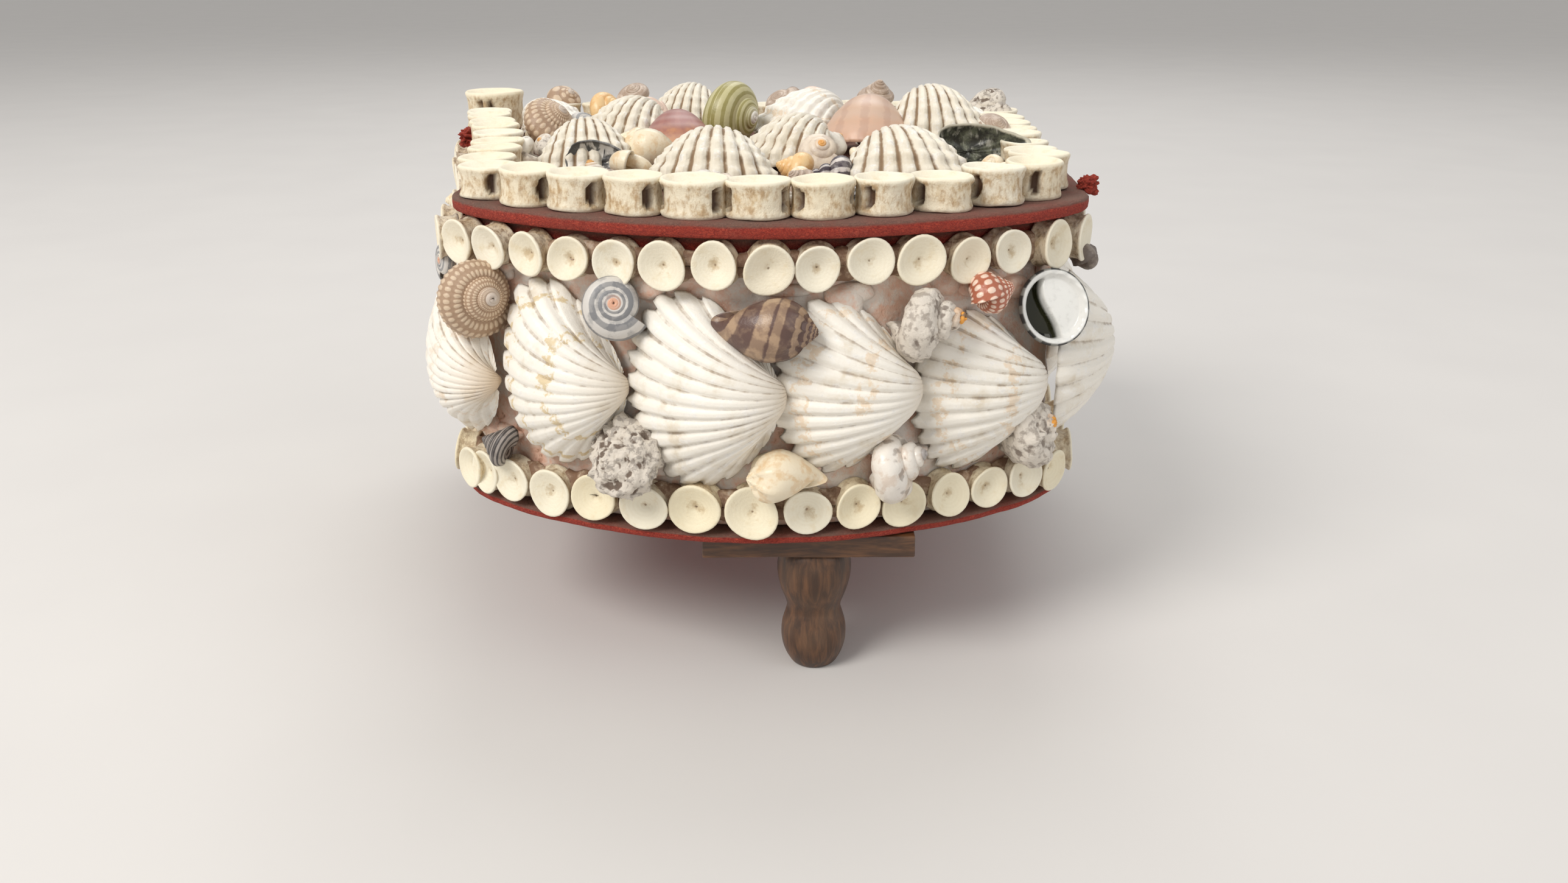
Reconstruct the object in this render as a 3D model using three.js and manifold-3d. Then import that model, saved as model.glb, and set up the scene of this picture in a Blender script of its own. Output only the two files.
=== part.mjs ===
// Shell box: a keepsake box with a lift-off lid, covered all round with sea shells and fish vertebrae.
// Millimetres, +Z up. The rounded tail of the plan faces -Y, the wide straight back faces +Y.
// The finished group stands with the middle of its bounding box's underside at the origin.

import * as THREE from "three";
import { mergeVertices } from "three/addons/utils/BufferGeometryUtils.js";
import Module from "manifold-3d";

const wasm = await Module();
wasm.setup();

const GAP = 0.3;
const UP = new THREE.Vector3(0, 0, 1);

// The plan is drawn along the cupped faces of the vertebrae on the wall.
const PLAN = {
  halfWidth: 70, // of the tail, at its widest line y = 0
  tailDepth: 36.5,
  tailPull: 0.44, // length of the tail's curve handles, as a share of its half axes
  backRight: 75,
  backLeft: -91,
  back: 122,
  cornerRadiusRight: 22,
  cornerRadiusLeft: 16,
  flareHandleBack: [-85, 70],
  flareHandleFront: [-70, 38],
};
const PLAN_SIDES = 42;

// Heights above the table, from the feet up.
const FOOT_HEIGHT = 28.7;
const PLATE_HEIGHT = 5.2;
const BASE_BOTTOM = 34.5;
const BASE_THICKNESS = 2.1;
const BODY_BOTTOM = BASE_BOTTOM + BASE_THICKNESS + GAP;
const FLOOR_THICKNESS = 2.5;
const BODY_TOP = 94.2;
const RIM_BOTTOM = BODY_TOP + GAP;
const RIM_TOP = 98.7;
const LID_BOTTOM = RIM_TOP + GAP;
const LID_THICKNESS = 3.1;
const LID_TOP = LID_BOTTOM + LID_THICKNESS;

// Insets of each layer from the plan line.
const WALL_INSET = 5.5;
const WALL_THICKNESS = 4;
const BASE_INSET = 1.5;
const RIM_INSET = 5.4;
const LID_INSET = 1.2;

// Rows of vertebrae that touch each other. Phase is how far the first one is past the tail's
// middle, in steps of the row.
const UPPER_ROW = { count: 54, phase: 0.16, z: 93.7, radius: 5.1, length: 4.9 };
const LOWER_ROW = { count: 51, phase: 0.85, z: 42.2, radius: 5.9, length: 4.9 };
const LID_ROW = { count: 40, phase: -0.02, radius: 6.5, height: 6.9, inset: 9.6 };
const DISH = 1.3; // depth of the cup in a vertebra's face
const WAIST = 0.84; // radius of a vertebra's middle, as a share of its ends
const NECK = 0.22; // half height of the contact between neighbours, as a share of the radius
const CORNER_VERTEBRA = { radius: 8.4, height: 10.8 };

// Cockles round the middle, each with its umbo to the right and its fan to the left.
const COCKLE_ROW = { count: 19, start: 6, z: 69.2, clearance: 0.9 };
const COCKLE_RIBS = 8;
const BACK_RIBS = 6;
const COCKLE = { reach: 26.9, halfHeight: 17.8, depth: 10, ribs: BACK_RIBS };
const FRONT_COCKLES = {
  0: { reach: 27.4, halfHeight: 18.4, depth: 11 },
  1: { reach: 27.2, halfHeight: 17.6, depth: 10 },
  2: { reach: 26.6, halfHeight: 17.0, depth: 9.5 },
  3: { reach: 26.9, halfHeight: 17.0, depth: 9.5 },
  17: { reach: 26.4, halfHeight: 17.8, depth: 10 },
  18: { reach: 26.8, halfHeight: 18, depth: 10, along: -0.5 },
};

const FEET = { front: [11.4, -22], back_left: [-62, 98], back_right: [50, 98] };
const PLATE = { width: 45.6, depth: 30 };
const PLATE_CENTRES = { front: [10, -15], back_left: [-62, 98], back_right: [50, 98] };

const finish = (colour, roughness) =>
  new THREE.MeshStandardMaterial({ color: colour, roughness, metalness: 0 });
const MATERIALS = {
  plaster: finish(0xc49a80, 0.85),
  felt: finish(0x8f332a, 0.95),
  wood: finish(0x4a3226, 0.55),
  bone: finish(0xd9cdb4, 0.6),
  cockle: finish(0xe2dccf, 0.6),
  snail: finish(0xb7a48f, 0.5),
  dark: finish(0x34302c, 0.4),
  pink: finish(0xb87f74, 0.4),
  olive: finish(0x8d8447, 0.45),
};

// ---------------------------------------------------------------- geometry helpers

function bare(geometry) {
  geometry.deleteAttribute("normal");
  geometry.deleteAttribute("uv");
  return mergeVertices(geometry, 1e-4);
}

function toSolid(geometry) {
  const merged = bare(geometry);
  return new wasm.Manifold(
    new wasm.Mesh({
      numProp: 3,
      vertProperties: merged.attributes.position.array,
      triVerts: new Uint32Array(merged.index.array),
    }),
  );
}

function toGeometry(solid) {
  const mesh = solid.getMesh();
  return new THREE.BufferGeometry()
    .setAttribute("position", new THREE.BufferAttribute(mesh.vertProperties, 3))
    .setIndex(new THREE.BufferAttribute(mesh.triVerts, 1));
}

// Skin through rings of equal length. The last ring joins the first one, or each end is closed
// by a fan round its own point.
function skin(rings, ends) {
  const sides = rings[0].length;
  const points = rings.flat();
  const bands = ends ? rings.length - 1 : rings.length;
  const faces = [];
  for (let j = 0; j < bands; j++) {
    const low = j * sides;
    const high = ((j + 1) % rings.length) * sides;
    for (let i = 0; i < sides; i++) {
      const next = (i + 1) % sides;
      faces.push(low + i, low + next, high + next, low + i, high + next, high + i);
    }
  }
  if (ends) {
    const first = points.push(ends[0]) - 1;
    const last = points.push(ends[1]) - 1;
    const top = bands * sides;
    for (let i = 0; i < sides; i++) {
      const next = (i + 1) % sides;
      faces.push(first, next, i, last, top + i, top + next);
    }
  }
  return new THREE.BufferGeometry().setFromPoints(points).setIndex(faces);
}

// A turned body on the Y axis, from its radii at given heights, closed at both ends.
function turned(profile, sides) {
  const points = profile.map(([radius, height]) => new THREE.Vector2(radius, height));
  return bare(new THREE.LatheGeometry(points, sides, Math.PI / sides));
}

// ---------------------------------------------------------------- plan and stations

function planShape() {
  const { halfWidth: a, tailDepth: b, tailPull: k, back, backRight, backLeft } = PLAN;
  const right = PLAN.cornerRadiusRight;
  const left = PLAN.cornerRadiusLeft;
  const shape = new THREE.Shape();
  shape.moveTo(0, -b);
  shape.bezierCurveTo(k * a, -b, a, -k * b, a, 0);
  shape.lineTo(backRight, back - right);
  shape.absarc(backRight - right, back - right, right, 0, Math.PI / 2, false);
  shape.lineTo(backLeft + left, back);
  shape.absarc(backLeft + left, back - left, left, Math.PI / 2, Math.PI, false);
  shape.bezierCurveTo(...PLAN.flareHandleBack, ...PLAN.flareHandleFront, -a, 0);
  shape.bezierCurveTo(-a, -k * b, -k * a, -b, 0, -b);
  return shape;
}

// The plan line moved inwards, as a closed curve that runs anticlockwise from the tail's middle.
function planLine(inset) {
  const samples = planShape().getSpacedPoints(280).slice(0, -1);
  const count = samples.length;
  const moved = samples.map((point, i) => {
    const ahead = samples[(i + 1) % count];
    const behind = samples[(i + count - 1) % count];
    const along = ahead.clone().sub(behind).normalize();
    return new THREE.Vector3(point.x - along.y * inset, point.y + along.x * inset, 0);
  });
  const line = new THREE.CatmullRomCurve3(moved, true);
  line.arcLengthDivisions = 1120;
  return line;
}

const FACE_LINE = planLine(0);

// Where a share of the line lies, as a matrix: X along the wall, Y up and Z outwards.
function station(line, share, z, lift = 0) {
  const wrapped = ((share % 1) + 1) % 1;
  const along = line.getTangentAt(wrapped);
  const out = new THREE.Vector3().crossVectors(along, UP);
  const place = line.getPointAt(wrapped).addScaledVector(out, lift);
  place.z = z;
  return new THREE.Matrix4().makeBasis(along, UP, out).setPosition(place);
}

// A solid slab over the plan, cut by an inset, between two heights.
function slab(inset, bottom, height) {
  const outline = planLine(inset).getSpacedPoints(PLAN_SIDES).slice(0, -1);
  const shape = new THREE.Shape(outline.map((point) => new THREE.Vector2(point.x, point.y)));
  const solid = new THREE.ExtrudeGeometry(shape, { depth: height, bevelEnabled: false });
  return solid.translate(0, 0, bottom);
}

// ---------------------------------------------------------------- box, rim, base and lid

function boxBody() {
  const height = BODY_TOP - BODY_BOTTOM;
  const outside = toSolid(slab(WALL_INSET, BODY_BOTTOM, height));
  const hollow = toSolid(
    slab(WALL_INSET + WALL_THICKNESS, BODY_BOTTOM + FLOOR_THICKNESS, height),
  );
  return toGeometry(outside.subtract(hollow));
}

function feltRim() {
  const height = RIM_TOP - RIM_BOTTOM;
  const outside = toSolid(slab(RIM_INSET, RIM_BOTTOM, height));
  const hole = toSolid(slab(WALL_INSET + WALL_THICKNESS + 0.3, RIM_BOTTOM - 1, height + 2));
  return toGeometry(outside.subtract(hole));
}

function baseBoard() {
  return slab(BASE_INSET, BASE_BOTTOM, BASE_THICKNESS);
}

function lidBoard() {
  return slab(LID_INSET, LID_BOTTOM, LID_THICKNESS);
}

// ---------------------------------------------------------------- feet

function plate(centre) {
  const board = new THREE.BoxGeometry(PLATE.width, PLATE.depth, PLATE_HEIGHT);
  return board.translate(centre[0], centre[1], FOOT_HEIGHT + GAP + PLATE_HEIGHT / 2);
}

function foot(centre) {
  const profile = [
    [0, 0],
    [4.6, 0],
    [7.15, 5.2],
    [7.0, 10],
    [6.1, 13.3],
    [6.6, 17],
    [8.1, 21],
    [8.1, 25.6],
    [6.9, FOOT_HEIGHT],
    [0, FOOT_HEIGHT],
  ];
  return turned(profile, 10).rotateX(Math.PI / 2).translate(centre[0], centre[1], 0);
}

// ---------------------------------------------------------------- vertebrae

// A row of touching vertebrae as one skin: sections across the row follow the round outline of
// each piece, and shrink to a neck where two of them touch. A section is a list of [up, out].
function vertebraRow(line, row, z, indices, section) {
  const stops = [
    [-0.5, NECK],
    [-0.26, 0.88],
    [0.26, 0.88],
  ];
  const rings = [];
  const ringAt = (share, half) => {
    const place = station(line, share / row.count, z);
    return section(half * row.radius, half === NECK).map(([up, out]) =>
      new THREE.Vector3(0, up, out).applyMatrix4(place),
    );
  };
  for (const k of indices) {
    for (const [offset, half] of stops) rings.push(ringAt(k + row.phase + offset, half));
  }
  if (indices.length === row.count) return skin(rings);
  rings.push(ringAt(indices.at(-1) + row.phase + 0.5, NECK));
  const centreOf = (ring) =>
    ring.reduce((sum, point) => sum.add(point), new THREE.Vector3()).divideScalar(ring.length);
  return skin(rings, [centreOf(rings[0]), centreOf(rings.at(-1))]);
}

const countUp = (from, count) => Array.from({ length: count }, (_, i) => from + i);

// A row on the wall, the cupped faces outwards.
function wallRow(row) {
  const section = (half, neck) => {
    const front = neck ? -2.2 : 0;
    const cup = neck ? front : -DISH;
    return [
      [half, -row.length],
      [half, front],
      [0, cup],
      [-half, front],
      [-half, -row.length],
    ];
  };
  return vertebraRow(FACE_LINE, row, row.z, countUp(0, row.count), section);
}

// The row on the lid stands on end, cups up, and stops on both sides of the corner vertebra.
function lidRow(cornerCentre) {
  const line = planLine(LID_ROW.inset);
  const clear = CORNER_VERTEBRA.radius + LID_ROW.radius + GAP;
  const height = LID_ROW.height;
  const distance = (k) => {
    const place = line.getPointAt((((k + LID_ROW.phase) / LID_ROW.count) + 1) % 1);
    return Math.hypot(place.x - cornerCentre.x, place.y - cornerCentre.y);
  };
  const all = countUp(1, LID_ROW.count);
  const corner = all.reduce((best, k) => (distance(k) < distance(best) ? k : best));
  const kept = countUp(corner, LID_ROW.count).filter((k) => distance(k) > clear);
  const section = (half, neck) => [
    [height / 2, -half * WAIST],
    [height, -half],
    [height - (neck ? 0.3 : DISH), 0],
    [height, half],
    [height / 2, half * WAIST],
    [0, half],
    [0, -half],
  ];
  return vertebraRow(line, LID_ROW, LID_TOP + GAP, kept, section);
}

// A standing vertebra: a waisted drum, cupped at the top.
function standingVertebra({ radius, height }) {
  const profile = [
    [0, 0],
    [radius, 0],
    [radius * WAIST, height / 2],
    [radius, height],
    [0, height - 2 * DISH],
  ];
  return turned(profile, 10).rotateX(Math.PI / 2);
}

// ---------------------------------------------------------------- cockles

// Distance from the umbo to the margin, as a share of the reach, at an angle from the fan's axis.
function cockleMargin(angle) {
  return 0.055 + 0.945 / (1 + Math.pow(Math.abs(angle) / 1.24, 6));
}

// Height of the valve, as a share of its depth, at a share of the way from umbo to margin.
function cockleCrown(share) {
  const rise = 0.62 + 0.38 * Math.min(1, share / 0.35);
  return rise * Math.pow(1 - Math.pow(share, 2.4), 0.8);
}

// A cockle valve lying on XY, umbo towards +X, crown towards +Z.
function cockle({ reach, halfHeight, depth, ribs = COCKLE_RIBS }) {
  const fan = 1.85; // ribs cover this many radians to each side
  const widest = 0.69 * reach; // half height of the fan before it is stretched
  const steps = 2 * ribs;
  const angles = [];
  for (let i = 0; i <= steps; i++) angles.push(-fan + (2 * fan * i) / steps);
  angles.push(Math.PI);
  const ring = (share, ribHeight) =>
    angles.map((angle, i) => {
      const distance = share * reach * cockleMargin(angle > 3 ? Math.PI : angle);
      const rib = i <= steps ? ribHeight * (i % 2 ? 1 : -1) : 0;
      return new THREE.Vector3(
        reach / 2 - distance * Math.cos(angle),
        (-distance * Math.sin(angle) * halfHeight) / widest,
        depth * cockleCrown(share) + rib,
      );
    });
  const rings = [ring(1, 0), ring(0.84, 0.35), ring(0.42, 0.25)];
  for (const point of rings[0]) point.z = 0;
  const umbo = new THREE.Vector3(reach / 2, 0, depth * cockleCrown(0));
  const seat = new THREE.Vector3(0, 0, 0);
  return skin(rings, [seat, umbo]);
}

function wallCockle(k) {
  const size = FRONT_COCKLES[k] ?? COCKLE;
  const length = FACE_LINE.getLength();
  const umbo = COCKLE_ROW.start + (size.along ?? 0) + (k * length) / COCKLE_ROW.count;
  const along = umbo - size.reach / 2;
  const lift = COCKLE_ROW.clearance - WALL_INSET;
  return cockle(size).applyMatrix4(station(FACE_LINE, along / length, COCKLE_ROW.z, lift));
}

// ---------------------------------------------------------------- sea snails

// A whorled shell on the Y axis, apex towards +Y: each whorl is a crest and a seam below the next.
function whorled({ radius, spire, whorls, tail, shrink = 0.62 }, sides = 7) {
  const profile = [
    [0, -tail],
    [radius * 0.5, -tail * 0.72],
    [radius * 0.9, -tail * 0.3],
  ];
  let crest = radius;
  let height = 0;
  for (let k = 0; k < whorls; k++) {
    const step = (spire * Math.pow(shrink, k) * (1 - shrink)) / (1 - Math.pow(shrink, whorls));
    profile.push([crest, height + step * 0.25]);
    height += step;
    crest *= shrink;
    if (k + 1 < whorls) profile.push([crest * 1.12, height - step * 0.12]);
  }
  profile.push([0, height]);
  return turned(profile, sides);
}

// A round snail seen into its mouth: a ball with a dished opening towards +Y.
function openSnail({ radius, depth }, sides = 8) {
  const profile = [
    [0, -depth * 0.62],
    [radius * 0.72, -depth * 0.45],
    [radius, -depth * 0.05],
    [radius * 0.82, depth * 0.3],
    [radius * 0.6, depth * 0.3],
    [0, -depth * 0.1],
  ];
  return turned(profile, sides);
}

// Turns a shell on the Y axis so that its apex points along a direction, and puts it at a place.
function aimed(geometry, direction, place) {
  const turn = new THREE.Quaternion().setFromUnitVectors(
    new THREE.Vector3(0, 1, 0),
    new THREE.Vector3(...direction).normalize(),
  );
  return geometry.applyQuaternion(turn).applyMatrix4(place);
}

// Shells on the wall: along is the distance round the plan from the tail's middle, z the height,
// lift the distance outside the plan line, and aim the apex direction (along, up, out).
const WALL_SHELLS = [
  {
    name: "upper_beaded_top_shell",
    along: -56.5,
    z: 84.6,
    lift: 4.6,
    aim: [-0.35, 0.3, 1],
    shell: { radius: 7.2, spire: 6.5, whorls: 3, tail: 4 },
    material: "snail",
  },
  {
    name: "upper_moon_snail",
    along: -25.3,
    z: 86,
    lift: 4.4,
    aim: [0.1, 0.1, 1],
    shell: { radius: 6.3, spire: 3.4, whorls: 3, tail: 3.8 },
    material: "snail",
  },
  {
    name: "upper_banded_whelk",
    along: 4.2,
    z: 84,
    lift: 6.1,
    aim: [1, 0.42, 0.1],
    shell: { radius: 4.9, spire: 13, whorls: 4, tail: 11 },
    material: "snail",
  },
  {
    name: "upper_orange_turban",
    along: 32.4,
    z: 82.6,
    lift: 6.3,
    aim: [0.8, 0.1, 0.62],
    shell: { radius: 6.2, spire: 7.5, whorls: 3, tail: 6 },
    material: "snail",
  },
  {
    name: "upper_small_beaded_shell",
    along: 46,
    z: 86.3,
    lift: 4,
    aim: [0.85, 0.5, 0.2],
    shell: { radius: 3.4, spire: 5.4, whorls: 2, tail: 4.4 },
    material: "pink",
  },
  {
    name: "upper_nerite",
    along: 63.5,
    z: 83,
    lift: 6.6,
    aim: [-0.3, 0.1, 1],
    open: { radius: 6.8, depth: 10 },
    material: "cockle",
  },
  {
    name: "upper_dark_snail",
    along: 81.4,
    z: 86.8,
    lift: 4.2,
    aim: [0.4, 0.2, 1],
    shell: { radius: 5.6, spire: 5, whorls: 3, tail: 3.8 },
    material: "dark",
  },
  {
    name: "lower_ribbed_snail",
    along: -56.8,
    z: 52.6,
    lift: 1.6,
    aim: [-1, 0.1, 0.3],
    shell: { radius: 3.7, spire: 5, whorls: 3, tail: 4 },
    material: "dark",
  },
  {
    name: "lower_pitted_turban",
    along: -24.6,
    z: 55.2,
    lift: 5.1,
    aim: [-0.5, 0.4, 0.8],
    shell: { radius: 6.4, spire: 6.4, whorls: 3, tail: 6 },
    material: "snail",
  },
  {
    name: "lower_cream_conch",
    along: 5.4,
    z: 53.4,
    lift: 3.4,
    aim: [-1, 0.12, 0.15],
    shell: { radius: 4.6, spire: 7, whorls: 3, tail: 9 },
    material: "cockle",
  },
  {
    name: "lower_white_turban",
    along: 29.5,
    z: 54.2,
    lift: 5,
    aim: [0.7, 0.6, 0.5],
    shell: { radius: 5.4, spire: 6.4, whorls: 3, tail: 5.2 },
    material: "cockle",
  },
  {
    name: "lower_knobbly_turban",
    along: 60,
    z: 54.6,
    lift: 5.4,
    aim: [0.3, 0.5, 0.9],
    shell: { radius: 5.5, spire: 5.4, whorls: 3, tail: 5 },
    material: "snail",
  },
];

function wallShell({ along, z, lift, aim, shell, open }) {
  const place = station(FACE_LINE, along / FACE_LINE.getLength(), z, lift);
  return aimed(shell ? whorled(shell) : openSnail(open), aim, place);
}

// ---------------------------------------------------------------- shells heaped on the lid

// Cockles lie crown up on the lid. Heading is where the umbo points, in degrees from +X.
const LID_COCKLES = [
  { name: "lid_cockle_front_left", at: [-12, 11], heading: 88, reach: 24, halfHeight: 13, depth: 10.5 },
  { name: "lid_cockle_front_right", at: [32, 9], heading: 100, reach: 25, halfHeight: 14, depth: 10.5 },
  { name: "lid_cockle_centre", at: [6, 37], heading: 60, reach: 21, halfHeight: 10.5, depth: 9 },
  { name: "lid_cockle_back", at: [8, 78], heading: 40, reach: 23, halfHeight: 11.5, depth: 10 },
  { name: "lid_cockle_left", at: [-36, 58], heading: 70, reach: 20, halfHeight: 10, depth: 9 },
  { name: "lid_cockle_right", at: [43.5, 66], heading: 95, reach: 26, halfHeight: 13.5, depth: 11.5 },
];

function lidCockle({ at, heading, reach, halfHeight, depth }) {
  const valve = cockle({ reach, halfHeight, depth });
  return valve.rotateZ((heading * Math.PI) / 180).translate(at[0], at[1], LID_TOP + GAP);
}

// A smooth domed valve, flat below.
function dome({ radius, stretch, height }) {
  const profile = [
    [0, 0],
    [radius, 0],
    [radius * 0.93, height * 0.45],
    [radius * 0.62, height * 0.85],
    [0, height],
  ];
  return turned(profile, 9).rotateX(Math.PI / 2).scale(stretch, 1, 1);
}

// A mussel valve, open side up: a shallow bowl with walls of even thickness.
function musselBowl({ radius, stretch, height, wall }) {
  const profile = [
    [0, 0],
    [radius * 0.6, 0],
    [radius, height],
    [radius - wall, height],
    [radius * 0.5, wall],
    [0, wall],
  ];
  return turned(profile, 10).rotateX(Math.PI / 2).scale(stretch, 1, 1);
}

const LID_SHELLS = [
  {
    name: "lid_mauve_dome",
    geometry: dome({ radius: 7.2, stretch: 1.15, height: 8 }),
    at: [-22, 40, LID_TOP + GAP],
    material: "pink",
  },
  {
    name: "lid_peach_dome",
    geometry: dome({ radius: 8.3, stretch: 1.2, height: 9.5 }),
    at: [22.5, 56, LID_TOP + GAP],
    material: "pink",
  },
  {
    name: "lid_mussel_bowl",
    geometry: musselBowl({ radius: 7, stretch: 1.5, height: 7.5, wall: 1 }),
    at: [45.2, 31.5, LID_TOP + GAP],
    material: "dark",
  },
  {
    name: "lid_olive_top_shell",
    geometry: whorled({ radius: 8.6, spire: 9.5, whorls: 3, tail: 5.5 }, 9),
    aim: [0.12, -1, 0.05],
    at: [-9, 66, LID_TOP + 8.7],
    material: "olive",
  },
  {
    name: "lid_beaded_snail",
    geometry: whorled({ radius: 6.4, spire: 7, whorls: 3, tail: 5 }),
    aim: [0.5, -0.3, 0.8],
    at: [-58, 76, LID_TOP + 6.1],
    material: "snail",
  },
];

function lidShell({ geometry, aim, at }) {
  const place = new THREE.Matrix4().makeTranslation(...at);
  return aim ? aimed(geometry, aim, place) : geometry.applyMatrix4(place);
}

// ---------------------------------------------------------------- assembly

const shellBox = new THREE.Group();

function add(name, geometry, material) {
  const mesh = new THREE.Mesh(geometry, MATERIALS[material]);
  mesh.name = name;
  shellBox.add(mesh);
}

add("box_body", boxBody(), "plaster");
add("felt_rim", feltRim(), "felt");
add("base_board", baseBoard(), "felt");
add("lid_board", lidBoard(), "felt");

for (const [place, centre] of Object.entries(FEET)) {
  add("foot_plate_" + place, plate(PLATE_CENTRES[place]), "wood");
  add("foot_" + place, foot(centre), "wood");
}

const cornerCentre = {
  x: PLAN.backLeft + LID_ROW.inset + 0.6,
  y: PLAN.back - LID_ROW.inset - 1.2,
};
add("upper_vertebra_row", wallRow(UPPER_ROW), "bone");
add("lower_vertebra_row", wallRow(LOWER_ROW), "bone");
add("lid_vertebra_row", lidRow(cornerCentre), "bone");
add(
  "lid_corner_vertebra",
  standingVertebra(CORNER_VERTEBRA).translate(
    cornerCentre.x,
    cornerCentre.y,
    LID_TOP + GAP,
  ),
  "bone",
);

for (let k = 0; k < COCKLE_ROW.count; k++) {
  add("wall_cockle_" + String(k + 1).padStart(2, "0"), wallCockle(k), "cockle");
}
for (const item of WALL_SHELLS) add(item.name, wallShell(item), item.material);
for (const item of LID_COCKLES) add(item.name, lidCockle(item), "cockle");
for (const item of LID_SHELLS) add(item.name, lidShell(item), item.material);

const bounds = new THREE.Box3().setFromObject(shellBox);
const middle = bounds.getCenter(new THREE.Vector3());
shellBox.position.set(-middle.x, -middle.y, -bounds.min.z);

const part = new THREE.Group();
part.add(shellBox);

export default part;
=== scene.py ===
# %% [markdown]
# # Shell box
# A keepsake box covered with sea shells and fish bones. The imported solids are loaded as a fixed
# frame, and every finer piece is built around them, so each one takes its place from the frame.

import math

import bpy
import numpy as np
from mathutils import Matrix, Vector


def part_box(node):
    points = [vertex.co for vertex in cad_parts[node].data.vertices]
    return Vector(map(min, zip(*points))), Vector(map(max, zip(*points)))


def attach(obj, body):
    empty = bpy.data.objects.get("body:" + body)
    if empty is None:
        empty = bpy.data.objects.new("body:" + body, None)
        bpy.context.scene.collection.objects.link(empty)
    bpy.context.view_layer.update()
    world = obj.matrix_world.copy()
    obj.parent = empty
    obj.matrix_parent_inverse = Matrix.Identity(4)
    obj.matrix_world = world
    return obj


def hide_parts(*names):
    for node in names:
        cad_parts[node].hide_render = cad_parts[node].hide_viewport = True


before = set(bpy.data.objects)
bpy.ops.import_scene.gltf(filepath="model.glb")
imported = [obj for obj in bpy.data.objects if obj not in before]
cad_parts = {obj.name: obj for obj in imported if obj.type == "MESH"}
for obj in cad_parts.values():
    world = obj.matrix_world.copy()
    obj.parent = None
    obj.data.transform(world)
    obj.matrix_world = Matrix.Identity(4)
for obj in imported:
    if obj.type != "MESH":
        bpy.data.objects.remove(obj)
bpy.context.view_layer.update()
MM = 0.001


def box_mm(node):
    """The lowest and the highest corner of a solid, in millimetres."""
    return (np.array(corner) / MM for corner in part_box(node))


# %% [markdown]
# The plan is the outline of a grand piano: a rounded tail in front, a straight right side, a wide
# back and a left side that flares. It is drawn once, as curves and arcs, because every row of
# pieces follows it. The front foot plate is a plain block with a known place in the plan, so it
# tells how far the frame has moved the plan.

# %% Plan line
HALF_WIDTH, TAIL_DEPTH, TAIL_PULL = 70.0, 36.5, 0.44
BACK, BACK_RIGHT, BACK_LEFT = 122.0, 75.0, -91.0
CORNER_RIGHT, CORNER_LEFT = 22.0, 16.0
FLARE_HANDLES = (-85.0, 70.0), (-70.0, 38.0)
PLATE_IN_PLAN = np.array([10.0, -15.0])

plate_low, plate_high = box_mm("foot_plate_front")
SHIFT = (plate_low + plate_high)[:2] / 2 - PLATE_IN_PLAN


def bezier(a, b, c, d, count=160):
    t = np.linspace(0, 1, count, endpoint=False)[:, None]
    a, b, c, d = (np.array(p) for p in (a, b, c, d))
    return (1 - t) ** 3 * a + 3 * (1 - t) ** 2 * t * b + 3 * (1 - t) * t**2 * c + t**3 * d


def stretch(a, b, count=160):
    t = np.linspace(0, 1, count, endpoint=False)[:, None]
    return np.array(a) * (1 - t) + np.array(b) * t


def corner(centre, radius, start, count=60):
    turn = start + np.linspace(0, math.pi / 2, count, endpoint=False)
    return np.array(centre) + radius * np.stack([np.cos(turn), np.sin(turn)], 1)


def plan_points():
    a, b, k = HALF_WIDTH, TAIL_DEPTH, TAIL_PULL
    right, left = CORNER_RIGHT, CORNER_LEFT
    return np.concatenate(
        [
            bezier((0, -b), (k * a, -b), (a, -k * b), (a, 0)),
            stretch((a, 0), (BACK_RIGHT, BACK - right)),
            corner((BACK_RIGHT - right, BACK - right), right, 0),
            stretch((BACK_RIGHT - right, BACK), (BACK_LEFT + left, BACK)),
            corner((BACK_LEFT + left, BACK - left), left, math.pi / 2),
            bezier((BACK_LEFT, BACK - left), *FLARE_HANDLES, (-a, 0), 240),
            bezier((-a, 0), (-a, -k * b), (-k * a, -b), (0, -b)),
        ]
    )


class PlanLine:
    """The plan line moved inwards by an inset, in millimetres, read by distance along it."""

    def __init__(self, inset):
        line = plan_points() + SHIFT
        along = np.roll(line, -1, 0) - np.roll(line, 1, 0)
        along /= np.linalg.norm(along, axis=1)[:, None]
        line = line - inset * np.stack([along[:, 1], -along[:, 0]], 1)
        self.line = np.vstack([line, line[:1]])
        steps = np.linalg.norm(np.diff(self.line, axis=0), axis=1)
        self.marks = np.concatenate([[0], np.cumsum(steps)])
        self.length = self.marks[-1]

    def point(self, distance):
        wrapped = np.mod(distance, self.length)
        x = np.interp(wrapped, self.marks, self.line[:, 0])
        y = np.interp(wrapped, self.marks, self.line[:, 1])
        return np.stack([x, y], -1)

    def along(self, distance):
        step = self.point(distance + 0.6) - self.point(distance - 0.6)
        return step / np.linalg.norm(step, axis=-1, keepdims=True)

    def place(self, distance, height, lift=0.0):
        """A matrix in metres: X along the wall, Y up, Z outwards."""
        along = self.along(distance)
        out = np.array([along[1], -along[0]])
        spot = self.point(distance) + lift * out
        matrix = Matrix.Identity(4)
        matrix.col[0] = (*along, 0, 0)
        matrix.col[1] = (0, 0, 1, 0)
        matrix.col[2] = (*out, 0, 0)
        matrix.col[3] = (spot[0] * MM, spot[1] * MM, height * MM, 1)
        return matrix


FACES = PlanLine(0)
print("plan line", round(FACES.length, 1), "mm round, shifted by", np.round(SHIFT, 2))

# %% [markdown]
# A mesh of thousands of points is best handled as one array. These helpers read and write the
# points of a piece, and give a smooth random value to every point in space: natural things are
# never quite even, and a lump of plaster or a worn bone is an even shape moved by such values.

# %% Points and random fields
ROOT = "root"
FINE_MERGE = 0.000008  # metres: points closer than this are one, on sheets with small faces


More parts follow.
